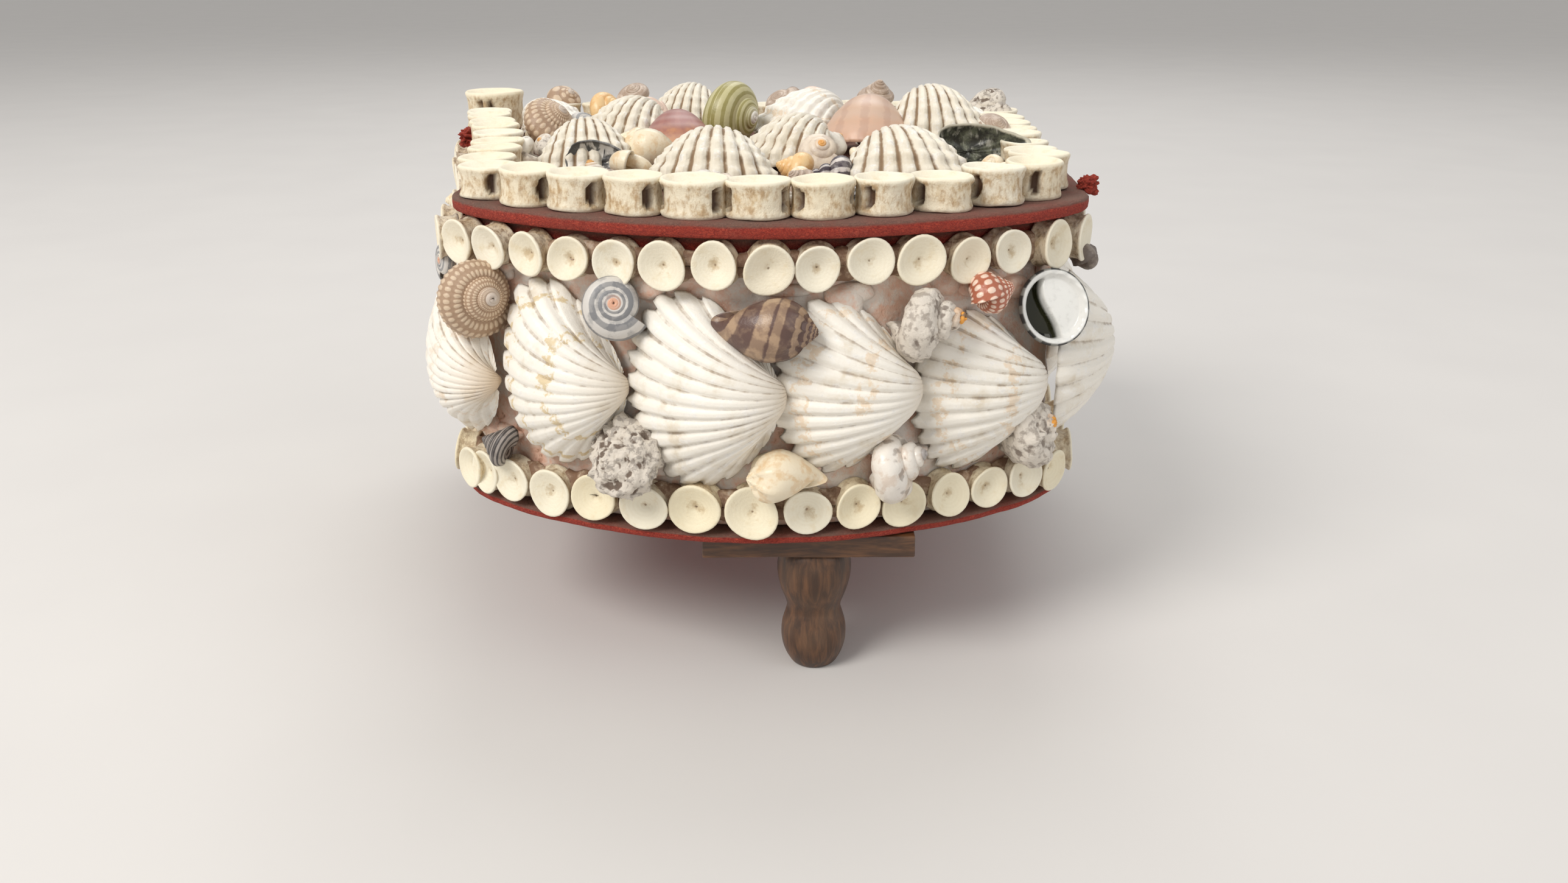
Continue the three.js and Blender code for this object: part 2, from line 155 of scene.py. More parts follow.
def read_points(piece):
    points = np.empty(len(piece.data.vertices) * 3)
    piece.data.vertices.foreach_get("co", points)
    return points.reshape(-1, 3)


def write_points(piece, points):
    piece.data.vertices.foreach_set("co", np.ascontiguousarray(points, dtype=np.float32).ravel())
    piece.data.update()


def write_marks(piece, marks):
    """Stores one value for each point under each name, where the finishes can read it."""
    count = len(piece.data.vertices)
    for key, values in marks.items():
        layer = piece.data.attributes.new(key, "FLOAT", "POINT")
        spread = np.broadcast_to(np.asarray(values, dtype=np.float32), count)
        layer.data.foreach_set("value", np.ascontiguousarray(spread))


def lattice(cell, seed):
    """A repeatable random number for each whole-numbered cell of space."""
    mixed = cell[..., 0] * 127.1 + cell[..., 1] * 311.7 + cell[..., 2] * 74.7 + seed * 19.19
    return np.modf(np.abs(np.sin(mixed) * 43758.5453))[0]


def field(points, size, seed=0):
    """Smooth random values from -1 to 1, with lumps of the given size."""
    scaled = np.asarray(points) / size
    cell = np.floor(scaled)
    inside = scaled - cell
    inside = inside * inside * (3 - 2 * inside)
    total = 0
    for corner_x in (0, 1):
        for corner_y in (0, 1):
            for corner_z in (0, 1):
                pick = np.array([corner_x, corner_y, corner_z])
                weight = np.prod(np.where(pick == 1, inside, 1 - inside), axis=-1)
                total = total + weight * lattice(cell + pick, seed)
    return total * 2 - 1


def smooth(low, high, value):
    t = np.clip((value - low) / (high - low), 0, 1)
    return t * t * (3 - 2 * t)


# %% [markdown]
# Shells, bones and felt boards are all one sheet, rolled or folded into a closed skin. So one
# helper makes them all: it adds a grid, bends it into the shape that a function gives, merges the
# edges that meet, closes any open end and turns the faces outwards. The function also returns
# marks, such as how deep a point lies in a groove, which the finishes read later.

# %% Sheet to skin
def clear_selection():
    bpy.ops.object.select_all(action="DESELECT")


def skin(name, columns, rows, shape, merge=0.00001):
    clear_selection()
    bpy.ops.mesh.primitive_grid_add(x_subdivisions=columns, y_subdivisions=rows, size=2)
    piece = bpy.context.object
    piece.name = piece.data.name = name
    flat = (read_points(piece) + 1) / 2
    points, marks = shape(flat[:, 0], flat[:, 1])
    write_points(piece, points)
    write_marks(piece, marks)
    bpy.ops.object.mode_set(mode="EDIT")
    bpy.ops.mesh.select_all(action="SELECT")
    bpy.ops.mesh.remove_doubles(threshold=merge)
    bpy.ops.mesh.fill_holes(sides=0)
    bpy.ops.mesh.select_all(action="SELECT")
    bpy.ops.mesh.normals_make_consistent(inside=False)
    bpy.ops.object.mode_set(mode="OBJECT")
    bpy.ops.object.shade_smooth()
    return piece


def settle(piece, slot, finish, *nodes):
    """Gives a piece its body, its finish and the solids that it stands for; the slot is not used.
    """
    piece.data.materials.clear()
    piece.data.materials.append(finish)
    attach(piece, ROOT)
    if nodes:
        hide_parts(*nodes)
    return piece


def moved(points, matrix):
    turn = np.array(matrix.to_3x3())
    return points @ turn.T + np.array(matrix.translation)


def joined(name, pieces):
    clear_selection()
    for piece in pieces:
        piece.select_set(True)
    bpy.context.view_layer.objects.active = pieces[0]
    bpy.ops.object.join()
    pieces[0].name = pieces[0].data.name = name
    return pieces[0]


# %% [markdown]
# A finish is written as sums. The small class below wraps a node's socket, so that an expression
# such as `1 - dirt * 0.5` adds the Math nodes that it needs. Every other node comes from one
# method, and colours go through a Mix node.

# %% Shader maths
class Value:
    def __init__(self, finish, socket):
        self.finish, self.socket = finish, socket

    def maths(self, operation, first, second):
        return self.finish.node("ShaderNodeMath", {"operation": operation}, {0: first, 1: second})

    def __add__(self, other):
        return self.maths("ADD", self, other)

    def __sub__(self, other):
        return self.maths("SUBTRACT", self, other)

    def __rsub__(self, other):
        return self.maths("SUBTRACT", other, self)

    def __mul__(self, other):
        return self.maths("MULTIPLY", self, other)

    __radd__ = __add__
    __rmul__ = __mul__


class Finish:
    def __init__(self, name):
        self.material = bpy.data.materials.new(name)
        self.material.use_nodes = True
        self.tree = self.material.node_tree
        self.shader = next(n for n in self.tree.nodes if n.type == "BSDF_PRINCIPLED")

    def feed(self, socket, value):
        if isinstance(value, Value):
            self.tree.links.new(value.socket, socket)
        elif isinstance(value, tuple) and len(value) == 3 and socket.type == "RGBA":
            socket.default_value = (*value, 1)
        else:
            socket.default_value = value

    def node(self, kind, settings=None, sockets=None, output=0):
        made = self.tree.nodes.new(kind)
        for key, value in (settings or {}).items():
            setattr(made, key, value)
        for key, value in (sockets or {}).items():
            self.feed(made.inputs[key], value)
        return Value(self, made.outputs[output])

    def places(self, scale=(1, 1, 1)):
        where = self.node("ShaderNodeTexCoord", output="Object")
        return self.node("ShaderNodeMapping", sockets={"Vector": where, "Scale": scale})

    def noise(self, size_mm, detail=3, rough=0.55, scale=(1, 1, 1), twist=0.0):
        values = {
            "Vector": self.places(scale),
            "Scale": 1 / (size_mm * MM),
            "Detail": detail,
            "Roughness": rough,
            "Distortion": twist,
        }
        return self.node("ShaderNodeTexNoise", sockets=values, output="Fac")

    def mark(self, name):
        return self.node("ShaderNodeAttribute", {"attribute_name": name}, output="Fac")

    def step(self, value, low, high):
        sockets = {"Value": value, "From Min": low, "From Max": high}
        return self.node("ShaderNodeMapRange", {"interpolation_type": "SMOOTHSTEP"}, sockets)

    def blend(self, first, second, share, kind="MIX"):
        settings = {"data_type": "RGBA", "blend_type": kind}
        sockets = {"Factor": share, 6: first, 7: second}
        return self.node("ShaderNodeMix", settings, sockets, output=2)

    def wave(self, value, turns):
        return self.node("ShaderNodeMath", {"operation": "SINE"}, {0: value * (turns * math.tau)})

    def finish(self, colour, roughness, height=None, depth_mm=0.3, strength=1.0, **constants):
        self.feed(self.shader.inputs["Base Color"], colour)
        self.feed(self.shader.inputs["Roughness"], roughness)
        for key, value in constants.items():
            self.shader.inputs[key.replace("_", " ")].default_value = value
        if height is not None:
            sockets = {"Height": height, "Distance": depth_mm * MM, "Strength": strength}
            bump = self.node("ShaderNodeBump", sockets=sockets)
            self.feed(self.shader.inputs["Normal"], bump)
        return self.material


# %% [markdown]
# ## Finishes
# Cockle valves are chalky white, with brown dirt and painted shade in the grooves between the ribs,
# heavier on one half. Each valve also carries its own tint near the umbo, and some have rows of
# ochre dashes along the ribs.

# %% Cockle finish
def cockle_finish(name, umbo=(0.62, 0.5, 0.36), dashes=(0.66, 0.42, 0.2), dash_share=0.0,
                  grime=0.5, pale=(0.85, 0.81, 0.73)):
    f = Finish(name)
    groove, share, rib = f.mark("groove"), f.mark("share"), f.mark("rib")
    blotch = f.noise(7, 4, 0.6)
    near = f.noise(2.4, 4, 0.65)
    fine = f.noise(0.7, 3, 0.6)
    white = f.blend(pale, (0.66, 0.57, 0.43), f.step(blotch, 0.5, 0.75) * 0.8)
    chalky = f.blend(white, (0.88, 0.86, 0.82), f.step(near, 0.52, 0.66) * 0.7)
    tinted = f.blend(chalky, umbo, f.step(1 - share, 0.55, 1.0) * 0.7)
    band = f.step(f.wave(share + blotch * 0.35, 3.2), 0.55, 0.9)
    dashed = f.step(near, 0.47, 0.56) * band * f.step(share, 0.25, 0.5) * dash_share
    marked = f.blend(tinted, dashes, dashed)
    # Brown dirt and painted shade: the grooves, the inside of the valve and one half of it (the
    # upper half on the wall) are darkened brown, and grime deepens it.
    worn = groove + (blotch - 0.5) * 1.3 + (near - 0.5) * 0.8 + rib * 0.3 + (grime - 0.5) * 0.5
    dirt_and_shade = f.step(worn, 0.8, 1.3) * f.step(groove, 0.4, 0.9)
    grey = f.step(near + fine * 0.5, 0.82, 1.0) * 0.35
    darkened = f.blend(marked, (0.42, 0.37, 0.3), grey * grime)
    dirty_and_shaded = f.blend(darkened, (0.24, 0.155, 0.085), dirt_and_shade * (0.45 + grime * 0.5))
    height = fine * 0.6 + f.noise(0.3, 2) * 0.3 + near * 0.3
    return f.finish(dirty_and_shaded, 0.5 + dirt_and_shade * 0.3, height, 0.16, 0.8)


COCKLE = cockle_finish("cockle_white")
COCKLE_TAN = cockle_finish("cockle_tan", umbo=(0.55, 0.36, 0.18), dash_share=0.3)
COCKLE_SPOTTED = cockle_finish("cockle_spotted", dashes=(0.62, 0.45, 0.18), dash_share=0.7)
COCKLE_DASHED = cockle_finish("cockle_dashed", dashes=(0.72, 0.5, 0.27), dash_share=0.5)
COCKLE_GRIMY = cockle_finish("cockle_on_lid", grime=1.1, pale=(0.75, 0.69, 0.57))


# %% [markdown]
# Fish bone is cream, stained brown where dirt has settled, and its cupped faces keep faint growth
# rings. The marks say how far a point is from the middle of its face and whether it lies in a pit.

# %% Bone finish
def bone_finish(name, pale, stain, amount, grime):
    f = Finish(name)
    cup, pit, seed, side = f.mark("cup"), f.mark("pit"), f.mark("seed"), f.mark("side")
    blotch = f.noise(3.2, 5, 0.65)
    streak = f.noise(1.2, 5, 0.65, scale=(1, 1, 0.55))
    fine = f.noise(0.35, 3, 0.6)
    tone = f.blend(pale, (0.82, 0.78, 0.66), seed * 0.7)
    patchy = f.blend(tone, (0.68, 0.55, 0.33), f.step(blotch, 0.5, 0.74) * 0.45)
    rubbed = f.step(blotch * 0.8 + streak * 0.7, 0.62, 0.92)
    brown = f.blend((0.62, 0.46, 0.26), stain, f.step(streak, 0.4, 0.62))
    worn = f.blend(patchy, brown, side * (rubbed * amount + grime) * 0.85)
    rings = f.wave(cup + blotch * 0.08, 6) * 0.5 + 0.5
    ringed = f.blend(worn, (0.62, 0.5, 0.32), rings * f.step(cup, 0.1, 0.3) * 0.09)
    stained = f.step(cup + (blotch - 0.5) * 1.6, 0.66, 1.05)
    spotted = f.blend(ringed, (0.44, 0.31, 0.16), stained * 0.65)
    centre = f.step(cup + (fine - 0.5) * 0.1, 0.93, 0.985)
    dotted = f.blend(spotted, (0.2, 0.13, 0.07), centre * 0.85)
    # Painted shade: the side holes are painted nearly black.
    holed = f.blend(dotted, (0.09, 0.045, 0.022), pit)
    height = fine * 0.5 + streak * side * 1.4 + rings * 0.03 + blotch * 0.6
    return f.finish(holed, 0.42 + blotch * 0.25, height, 0.22, 0.8)


BONE_WHITE = bone_finish("bone_upper_row", (0.8, 0.73, 0.57), (0.26, 0.16, 0.085), 0.6, 0.45)
BONE_CREAM = bone_finish("bone_lower_row", (0.8, 0.72, 0.52), (0.34, 0.22, 0.11), 0.6, 0.3)
BONE_LID = bone_finish("bone_lid_row", (0.82, 0.74, 0.56), (0.42, 0.27, 0.13), 0.85, 0.2)


# %% [markdown]
# The boards are covered with red felt. Felt is a mat of fibres: a fuzzy surface with a soft sheen,
# and grey-brown dust has settled on what faces up.

# %% Felt finish
def felt_finish():
    f = Finish("red_felt")
    fibres = f.noise(0.5, 4, 0.7, scale=(1, 1, 1.6), twist=1.2)
    patches = f.noise(9, 4, 0.6)
    red = f.blend((0.28, 0.017, 0.008), (0.6, 0.075, 0.036), f.step(fibres, 0.35, 0.7))
    settled = f.mark("upward") + (patches - 0.5) * 0.8 + (fibres - 0.5) * 0.5
    dust = f.step(settled, 0.45, 1.1) * 0.8 + f.step(fibres + patches, 1.05, 1.3) * 0.15
    dusty = f.blend(red, (0.2, 0.135, 0.1), dust)
    return f.finish(dusty, 0.95, fibres, 0.7, 1.0, Sheen_Weight=0.03, Sheen_Roughness=0.6)


FELT = felt_finish()


# %% [markdown]
# The wall is coated with peach-pink plaster. Brown glue has run over it in glossy patches, and
# grey dust and sand stick to it.

# %% Plaster finish
def plaster_finish():
    f = Finish("plaster_and_glue")
    wide = f.noise(8, 4, 0.6, twist=0.6)
    near = f.noise(2.4, 4, 0.6, twist=0.4)
    grain = f.noise(0.5, 3, 0.6)
    peach = f.blend((0.72, 0.43, 0.31), (0.74, 0.56, 0.45), f.step(near, 0.35, 0.65))
    milky = f.blend(peach, (0.72, 0.68, 0.62), f.step(wide + grain * 0.2, 0.52, 0.72) * 0.85)
    glue = f.step(wide * 0.55 + near * 0.6, 0.47, 0.39)
    brown = f.blend((0.22, 0.105, 0.06), (0.45, 0.27, 0.17), f.step(near, 0.3, 0.6))
    coated = f.blend(milky, brown, glue * 0.75)
    height = grain * 0.4 + near * 0.6
    return f.finish(coated, 0.32 + wide * 0.35, height, 0.5, 0.8, Coat_Weight=0.25)


PLASTER = plaster_finish()


# %% [markdown]
# The feet and their plates are dark stained wood. The grain runs along the foot, and it is paler
# in soft clouds here and there.

# %% Wood finish
def wood_finish(name, scale):
    f = Finish(name)
    grain = f.noise(1.3, 5, 0.6, scale=scale, twist=0.5)
    cloud = f.noise(12, 3, 0.5)
    brown = f.blend((0.045, 0.019, 0.008), (0.14, 0.06, 0.023), f.step(grain, 0.35, 0.72))
    dusty = f.blend(brown, (0.23, 0.14, 0.085), f.step(cloud, 0.52, 0.8) * 0.25)
    return f.finish(dusty, 0.36 + grain * 0.2, grain, 0.2, 0.5, Coat_Weight=0.2)


WOOD_TURNED = wood_finish("turned_walnut", (1, 1, 0.12))
WOOD_PLATE = wood_finish("plate_walnut", (0.12, 1, 1))


# %% [markdown]
# Snails differ in colour, but not in how the colour lies: bands run along the whorls, stripes run
# across them, and dirt with painted shade sits in the seams; painted shade also darkens the inside
# of the mouth and the pits. One function takes the colours and the shares of each.

# %% Snail finish
def snail_finish(
    name,
    base,
    second,
    bands=0.0,
    band_turns=2.0,
    stripes=0.0,
    stripe_turns=9.0,
    dots=0.0,
    dirt_and_shade=0.5,
    apex=None,
    rough=0.45,
    dirt_and_shade_colour=(0.13, 0.09, 0.065),
    bump_mm=0.15,
    patch_mm=3.0,
    patches=0.3,
):
    f = Finish(name)
    turn, band, groove = f.mark("turn"), f.mark("band"), f.mark("groove")
    near = f.noise(patch_mm, 4, 0.6)
    fine = f.noise(0.5, 3, 0.6)
    mixed = f.step(near, 0.45, 0.62) * patches
    if bands:
        mixed = mixed + f.step(f.wave(band, band_turns) + (near - 0.5), 0.0, 0.5) * bands
    if stripes:
        mixed = mixed + f.step(f.wave(turn + near * 0.05, stripe_turns), 0.1, 0.5) * stripes
    if dots:
        mixed = mixed + f.step(f.mark("bead") + (near - 0.5) * 0.5, 0.42, 0.12) * dots
    mixed = f.step(mixed, 0.0, 1.0)
    colour = f.blend(base, second, mixed)
    if apex:
        colour = f.blend(colour, apex, f.step(f.mark("tip"), 0.48, 0.75))
    # Dirt and painted shade: the seams between the whorls are darkened, and painted shade darkens
    # the inside of the mouth and the pits.
    darkened = f.step(groove + (near - 0.5) * 0.8 + (fine - 0.5) * 0.4, 0.5, 1.0) * dirt_and_shade
    colour = f.blend(colour, dirt_and_shade_colour, darkened)
    return f.finish(colour, rough + darkened * 0.4, fine * 0.6 + near * 0.3, bump_mm, 0.8)


# %% [markdown]
# ## Felt boards
# The lid, the rim under it and the base are boards wrapped in felt. Each is a flat slab with soft
# edges. The sheet is folded from the middle of the top, over the edge, to the middle of the
# underside; on the rim, which is a ring, it is folded right round.

# %% Felt boards
SOFT_EDGE = 0.45  # how far the edges are rounded
FELT_LUMPS = 0.22  # how far the felt swells and sinks
WALL_INSET, WALL_THICK = 5.5, 4.0
LID_BOARD_INSET, RIM_INSET, BASE_INSET = 1.2, 5.4, 1.5
LID_ASIDE = 1.8  # the lid lies a little to the right of the box


def board(name, node, inset, hole=None, aside=0.0):
    low, high = box_mm(node)
    outer = PlanLine(inset)
    inner = PlanLine(hole) if hole else None
    bottom, top = low[2], high[2]
    middle = (outer.line.min(0) + outer.line.max(0)) / 2
    soft = SOFT_EDGE
    if hole:
        fold = [(0, top), (0.4, top), (0.8, top), (0.97, top), (1, top - soft), (1, bottom + soft)]
        fold += [(0.97, bottom), (0.5, bottom), (0, bottom), (0, (top + bottom) / 2), (0, top)]
    else:
        fold = [(0, top), (0.5, top), (0.8, top), (0.88, top), (0.94, top), (0.97, top)]
        fold += [(0.985, top), (0.995, top - 0.08), (1, top - soft), (1.001, (top + bottom) / 2)]
        fold += [(1, bottom + soft), (0.995, bottom + 0.08), (0.985, bottom), (0.8, bottom)]
        fold += [(0, bottom)]
    reaches, levels = np.array(fold).T
    stops = np.linspace(0, 1, len(fold))

    def shape(u, v):
        rim = outer.point(u * outer.length)
        inward = inner.point(u * inner.length) if hole else middle
        reach = np.interp(v, stops, reaches)
        flat = inward + (rim - inward) * reach[:, None]
        points = np.column_stack([flat, np.interp(v, stops, levels)])
        rise = (field(points, 5, 3) + field(points, 1.7, 4) * 0.6) * FELT_LUMPS
        along = outer.along(u * outer.length)
        side = smooth(0.98, 1.0, reach) * rise
        points[:, 0] += along[:, 1] * side
        points[:, 1] -= along[:, 0] * side
        points[:, 2] += rise * 0.3 * (1 - smooth(0.97, 1.0, reach))
        upward = np.interp(v, stops, np.array(levels) > (top + bottom) / 2 + 0.1)
        points[:, 0] += aside
        return points * MM, {"upward": upward}

    piece = skin(name, 640, len(fold) - 1, shape)
    return settle(piece, "felt", FELT, node)


boards = [
    board("lid_board_felt", "lid_board", LID_BOARD_INSET, aside=LID_ASIDE),
    board("felt_rim_under_lid", "felt_rim", RIM_INSET, hole=WALL_INSET + WALL_THICK + 0.3),
    board("base_board_felt", "base_board", BASE_INSET),
]
print("felt boards", [len(piece.data.polygons) for piece in boards])

# %% [markdown]
# ## Plastered wall
# Under the shells the box is an open tub: a floor and a wall, thinly coated. The coat is uneven,
# so the outside is moved in and out by two sizes of lumps, while the inside stays plain.

# %% Plastered wall
FLOOR_THICK = 2.5


def plastered_wall():
    low, high = box_mm("box_body")
    outer, inner = PlanLine(WALL_INSET), PlanLine(WALL_INSET + WALL_THICK)
    bottom, top = low[2], high[2]
    floor = bottom + FLOOR_THICK
    middle = (outer.line.min(0) + outer.line.max(0)) / 2
    rises = np.linspace(bottom + 0.4, top - 0.4, 42)
    fold = [(0, 0, bottom), (0, 0.6, bottom), (0, 0.99, bottom)] + [(0, 1, z) for z in rises]
    fold += [(0, 0.995, top), (1, 1.005, top), (1, 1, top - 0.4), (1, 1, 70), (1, 1, floor + 0.6)]
    fold += [(1, 0.98, floor), (1, 0.5, floor), (1, 0, floor)]
    inside, reaches, levels = np.array(fold).T
    stops = np.linspace(0, 1, len(fold))

    def shape(u, v):
        within = np.interp(v, stops, inside)[:, None]
        rim = outer.point(u * outer.length) * (1 - within) + inner.point(u * inner.length) * within
        flat = middle + (rim - middle) * np.interp(v, stops, reaches)[:, None]
        points = np.column_stack([flat, np.interp(v, stops, levels)])
        face = smooth(bottom + 0.4, bottom + 3, points[:, 2]) * (within[:, 0] < 0.01)
        face = face * smooth(top - 0.3, top - 2, points[:, 2])
        rise = (field(points, 6, 7) * 0.5 + field(points, 2.2, 8) * 0.3) * face
        along = outer.along(u * outer.length)
        points[:, 0] += along[:, 1] * rise
        points[:, 1] -= along[:, 0] * rise
        return points * MM, {}

    piece = skin("plastered_wall", 420, len(fold) - 1, shape)
    return settle(piece, "plaster_coat", PLASTER, "box_body")


wall = plastered_wall()
print("wall", len(wall.data.polygons), "faces")

# %% [markdown]
# ## Feet
# Each foot is turned on a lathe. By hand one would start from a disc and pull it up ring by ring,
# widening and narrowing each ring, and that is what this helper does. Above each foot is a sawn
# plate: a block with bevelled edges, cut into strips so that its faces can be left a little uneven.

# %% Feet and plates
def turned(name, profile, sides):
    clear_selection()
    radius, height = profile[0]
    bpy.ops.mesh.primitive_circle_add(
        vertices=sides, radius=radius * MM, fill_type="TRIFAN", location=(0, 0, height * MM)
    )
    piece = bpy.context.object
    piece.name = piece.data.name = name
    bpy.ops.object.transform_apply(location=True)
    bpy.ops.object.mode_set(mode="EDIT")
    bpy.ops.mesh.select_all(action="SELECT")
    for next_radius, next_height in profile[1:]:
        lift = {"value": (0, 0, (next_height - height) * MM)}
        bpy.ops.mesh.extrude_region_move(TRANSFORM_OT_translate=lift)
        ratio = next_radius / radius
        centre = (0, 0, next_height * MM)
        bpy.ops.transform.resize(value=(ratio, ratio, 1), center_override=centre)
        radius, height = next_radius, next_height
    bpy.ops.mesh.select_all(action="SELECT")
    bpy.ops.mesh.normals_make_consistent(inside=False)
    bpy.ops.object.mode_set(mode="OBJECT")
    bpy.ops.object.shade_smooth()
    return piece


def rounded(knots, count):
    """A smooth run of (radius, height) through the knots."""
    knots = np.array(knots, dtype=float)
    t = np.linspace(0, len(knots) - 1.0001, count)
    i = t.astype(int)
    f = (t - i)[:, None]
    near = [knots[np.clip(i + step, 0, len(knots) - 1)] for step in (-1, 0, 1, 2)]
    a, b, c, d = near
    curve = b * 2 + (c - a) * f + (a * 2 - b * 5 + c * 4 - d) * f**2
    curve = (curve + (b * 3 - a - c * 3 + d) * f**3) / 2
    return [(max(r, 0.05), h) for r, h in curve]


FOOT_KNOTS = [(4.4, 0), (5.2, 0.5), (6.5, 3), (7.2, 6), (7.1, 9.5), (6.3, 12.4), (6.0, 13.8)]
FOOT_KNOTS += [(6.3, 15.4), (7.4, 18.5), (8.1, 21.8), (8.15, 24.6), (7.7, 27), (6.9, 28.6)]
for place in ("front", "back_left", "back_right"):
    node = "foot_" + place
    low, high = box_mm(node)
    foot = turned("turned_" + node, rounded(FOOT_KNOTS, 44), 48)
    points = read_points(foot)
    points[:, 2] *= high[2] / (points[:, 2].max() / MM)
    points[:, :2] *= 1 + 0.012 * field(points, 0.006, 5)[:, None]
    points[:, :2] += (low[:2] + high[:2]) / 2 * MM
    write_points(foot, points)
    settle(foot, "wood", WOOD_TURNED, node)

    low, high = (np.array(c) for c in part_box("foot_plate_" + place))
    clear_selection()
    bpy.ops.mesh.primitive_cube_add(size=1, location=(low + high) / 2, scale=high - low)
    plate = bpy.context.object
    plate.name = plate.data.name = "sawn_plate_" + place
    bpy.ops.object.transform_apply(location=True, scale=True)
    bpy.ops.object.mode_set(mode="EDIT")
    bpy.ops.mesh.select_all(action="SELECT")
    bpy.ops.mesh.bevel(offset=0.35 * MM, segments=2, affect="EDGES")
    bpy.ops.mesh.select_all(action="SELECT")
    bpy.ops.mesh.subdivide(number_cuts=5)
    bpy.ops.object.mode_set(mode="OBJECT")
    points = read_points(plate)
    write_points(plate, points + 0.00012 * field(points, 0.005, 9)[:, None])
    bpy.ops.object.shade_smooth_by_angle(angle=math.radians(40))
    settle(plate, "wood", WOOD_PLATE, "foot_plate_" + place)
print("feet and plates in place")

# %% [markdown]
# ## Fish bones
# A fish vertebra is a short drum with a waist and a cup in each end. One is pulled up from a disc:
# from the bottom of one cup over its rim, round the waist, to the bottom of the other cup. All the
# others are copies, each with its own mesh, made uneven by moving its points.

# %% The first bone
def bone_profile(waist, cup):
    """Radii and heights for a drum of radius 1 and height 1, the cups sunk by the given depth."""
    half = [(0.04, -cup * 1.12), (0.2, -cup * 0.93), (0.45, -cup * 0.66), (0.7, -cup * 0.32)]
    half += [(0.86, -cup * 0.08), (0.93, 0), (0.975, -0.015), (1, -0.06), (0.99, -0.12)]
    half += [(waist + 0.02, -0.22), (waist, -0.36)]
    top = [(r, 1 + h) for r, h in half]
    bottom = [(r, -h) for r, h in half]
    return rounded(bottom + [(waist, 0.5)] + top[::-1], 30)


def as_copy(piece, name):
    twin = piece.copy()
    twin.data = piece.data.copy()
    twin.name = twin.data.name = name
    bpy.context.scene.collection.objects.link(twin)
    return twin


first_bone = turned("first_bone", bone_profile(0.9, 0.36), 30)
deep_bone = turned("first_standing_bone", bone_profile(0.93, 0.36), 52)
print("one bone has", len(first_bone.data.polygons), "faces")


# %% [markdown]
# Each copy is given its radius, its height and a place. Its rim is a little oval, its side has
# fine ridges, and where the ribs once sat there are two oval holes. The marks for the finish are
# worked out from the same numbers.

# %% Uneven copies
def bone(source, name, matrix, radius, height, holes=(), seed=0, ridges=0.012, oval=0.04):
    piece = as_copy(source, name)
    unit = read_points(piece) / MM
    angle = np.arctan2(unit[:, 1], unit[:, 0])
    reach = np.hypot(unit[:, 0], unit[:, 1])
    level = unit[:, 2]
    side = (reach > 0.8) * smooth(0.02, 0.14, level) * smooth(0.98, 0.86, level)
    key = seed * 17.3
    spin = lattice(np.array([seed, 1, 2]), 5) * math.tau
    shape = 1 + oval * np.cos(2 * (angle - spin)) + 0.02 * np.cos(3 * angle + spin)
    wobble = field(unit * np.array([1, 1, 0.35]) + key, 0.16, 2) * ridges * 1.5
    shape = shape + side * (wobble + field(unit + key, 0.45, 3) * 0.02)
    pit = np.full(len(unit), -1.0)
    for where, level_at, wide, high in holes:
        off = np.angle(np.exp(1j * (angle - where))) / wide
        dent = 1.25 - off**2 - ((level - level_at) / high) ** 2
        pit = np.maximum(pit, np.where(side > 0.05, dent, -1.0))
    lips = smooth(-0.5, 0.05, pit) * smooth(0.35, 0.05, pit)
    shape = shape * (1 - 0.26 * smooth(0.1, 0.6, pit) + 0.03 * lips * bool(holes))
    unit[:, 0] *= shape * radius
    unit[:, 1] *= shape * radius
    chips = field(unit + key * 3, radius * 0.6, 6)
    unit[:, 2] = (level + 0.02 * chips) * height
    write_points(piece, moved(unit * MM, matrix))
    cup = np.where(reach < 0.93, 1 - reach / 0.93, 0) * (1 - side)
    marks = {"cup": cup, "pit": smooth(0.12, 0.4, pit), "side": side, "seed": spin / math.tau}
    write_marks(piece, marks)
    return piece


def tilted(matrix, about_x, about_y):
    return matrix @ Matrix.Rotation(about_x, 4, "X") @ Matrix.Rotation(about_y, 4, "Y")


# %% [markdown]
# Two rows stand on the wall with a cup outwards. In front the bones were set by eye, so their
# places are listed as distances from the middle of the tail; round the back they are even. Each
# bone fills most of the room that its neighbours leave, and leans a few degrees its own way.

# %% Rows on the wall
UPPER_FRONT = [-79.4, -71, -60, -49.5, -40.3, -29.6, -19.5, -8.6, 1.7, 11.5, 21.9, 33, 44.1, 54.5]
UPPER_FRONT += [67.2, 78.6]
UPPER_RADII = [4.8, 5.0, 4.9, 4.6, 4.5, 4.7, 4.9, 4.7, 5.1, 4.6, 4.8, 5.1, 4.7, 4.6, 5.0, 4.9]
LOWER_FRONT = [-73.1, -67.1, -59, -48.4, -37.1, -25.5, -13.8, -1.7, 9.5, 20.5, 31.1, 41.7, 52.2]
LOWER_FRONT += [62.4, 72.3]
LOWER_RADII = [4.7, 4.8, 4.9, 5.2, 5.3, 5.2, 5.6, 5.7, 5.1, 4.9, 5.1, 4.9, 4.7, 4.8, 4.8]


UPPER_HEIGHT, UPPER_SPACING = 93.6, 10.45
LOWER_HEIGHT, LOWER_SPACING = 42.0, 11.1
BONE_LENGTHS = 4.4, 5.2
SIDE_WIDENING = 1.4


def widening(distance):
    """The pieces stand out a little more along the two sides of the box than in front."""
    way = np.abs(np.mod(distance + FACES.length / 2, FACES.length) - FACES.length / 2)
    return SIDE_WIDENING * smooth(50, 90, way) * smooth(215, 190, way)


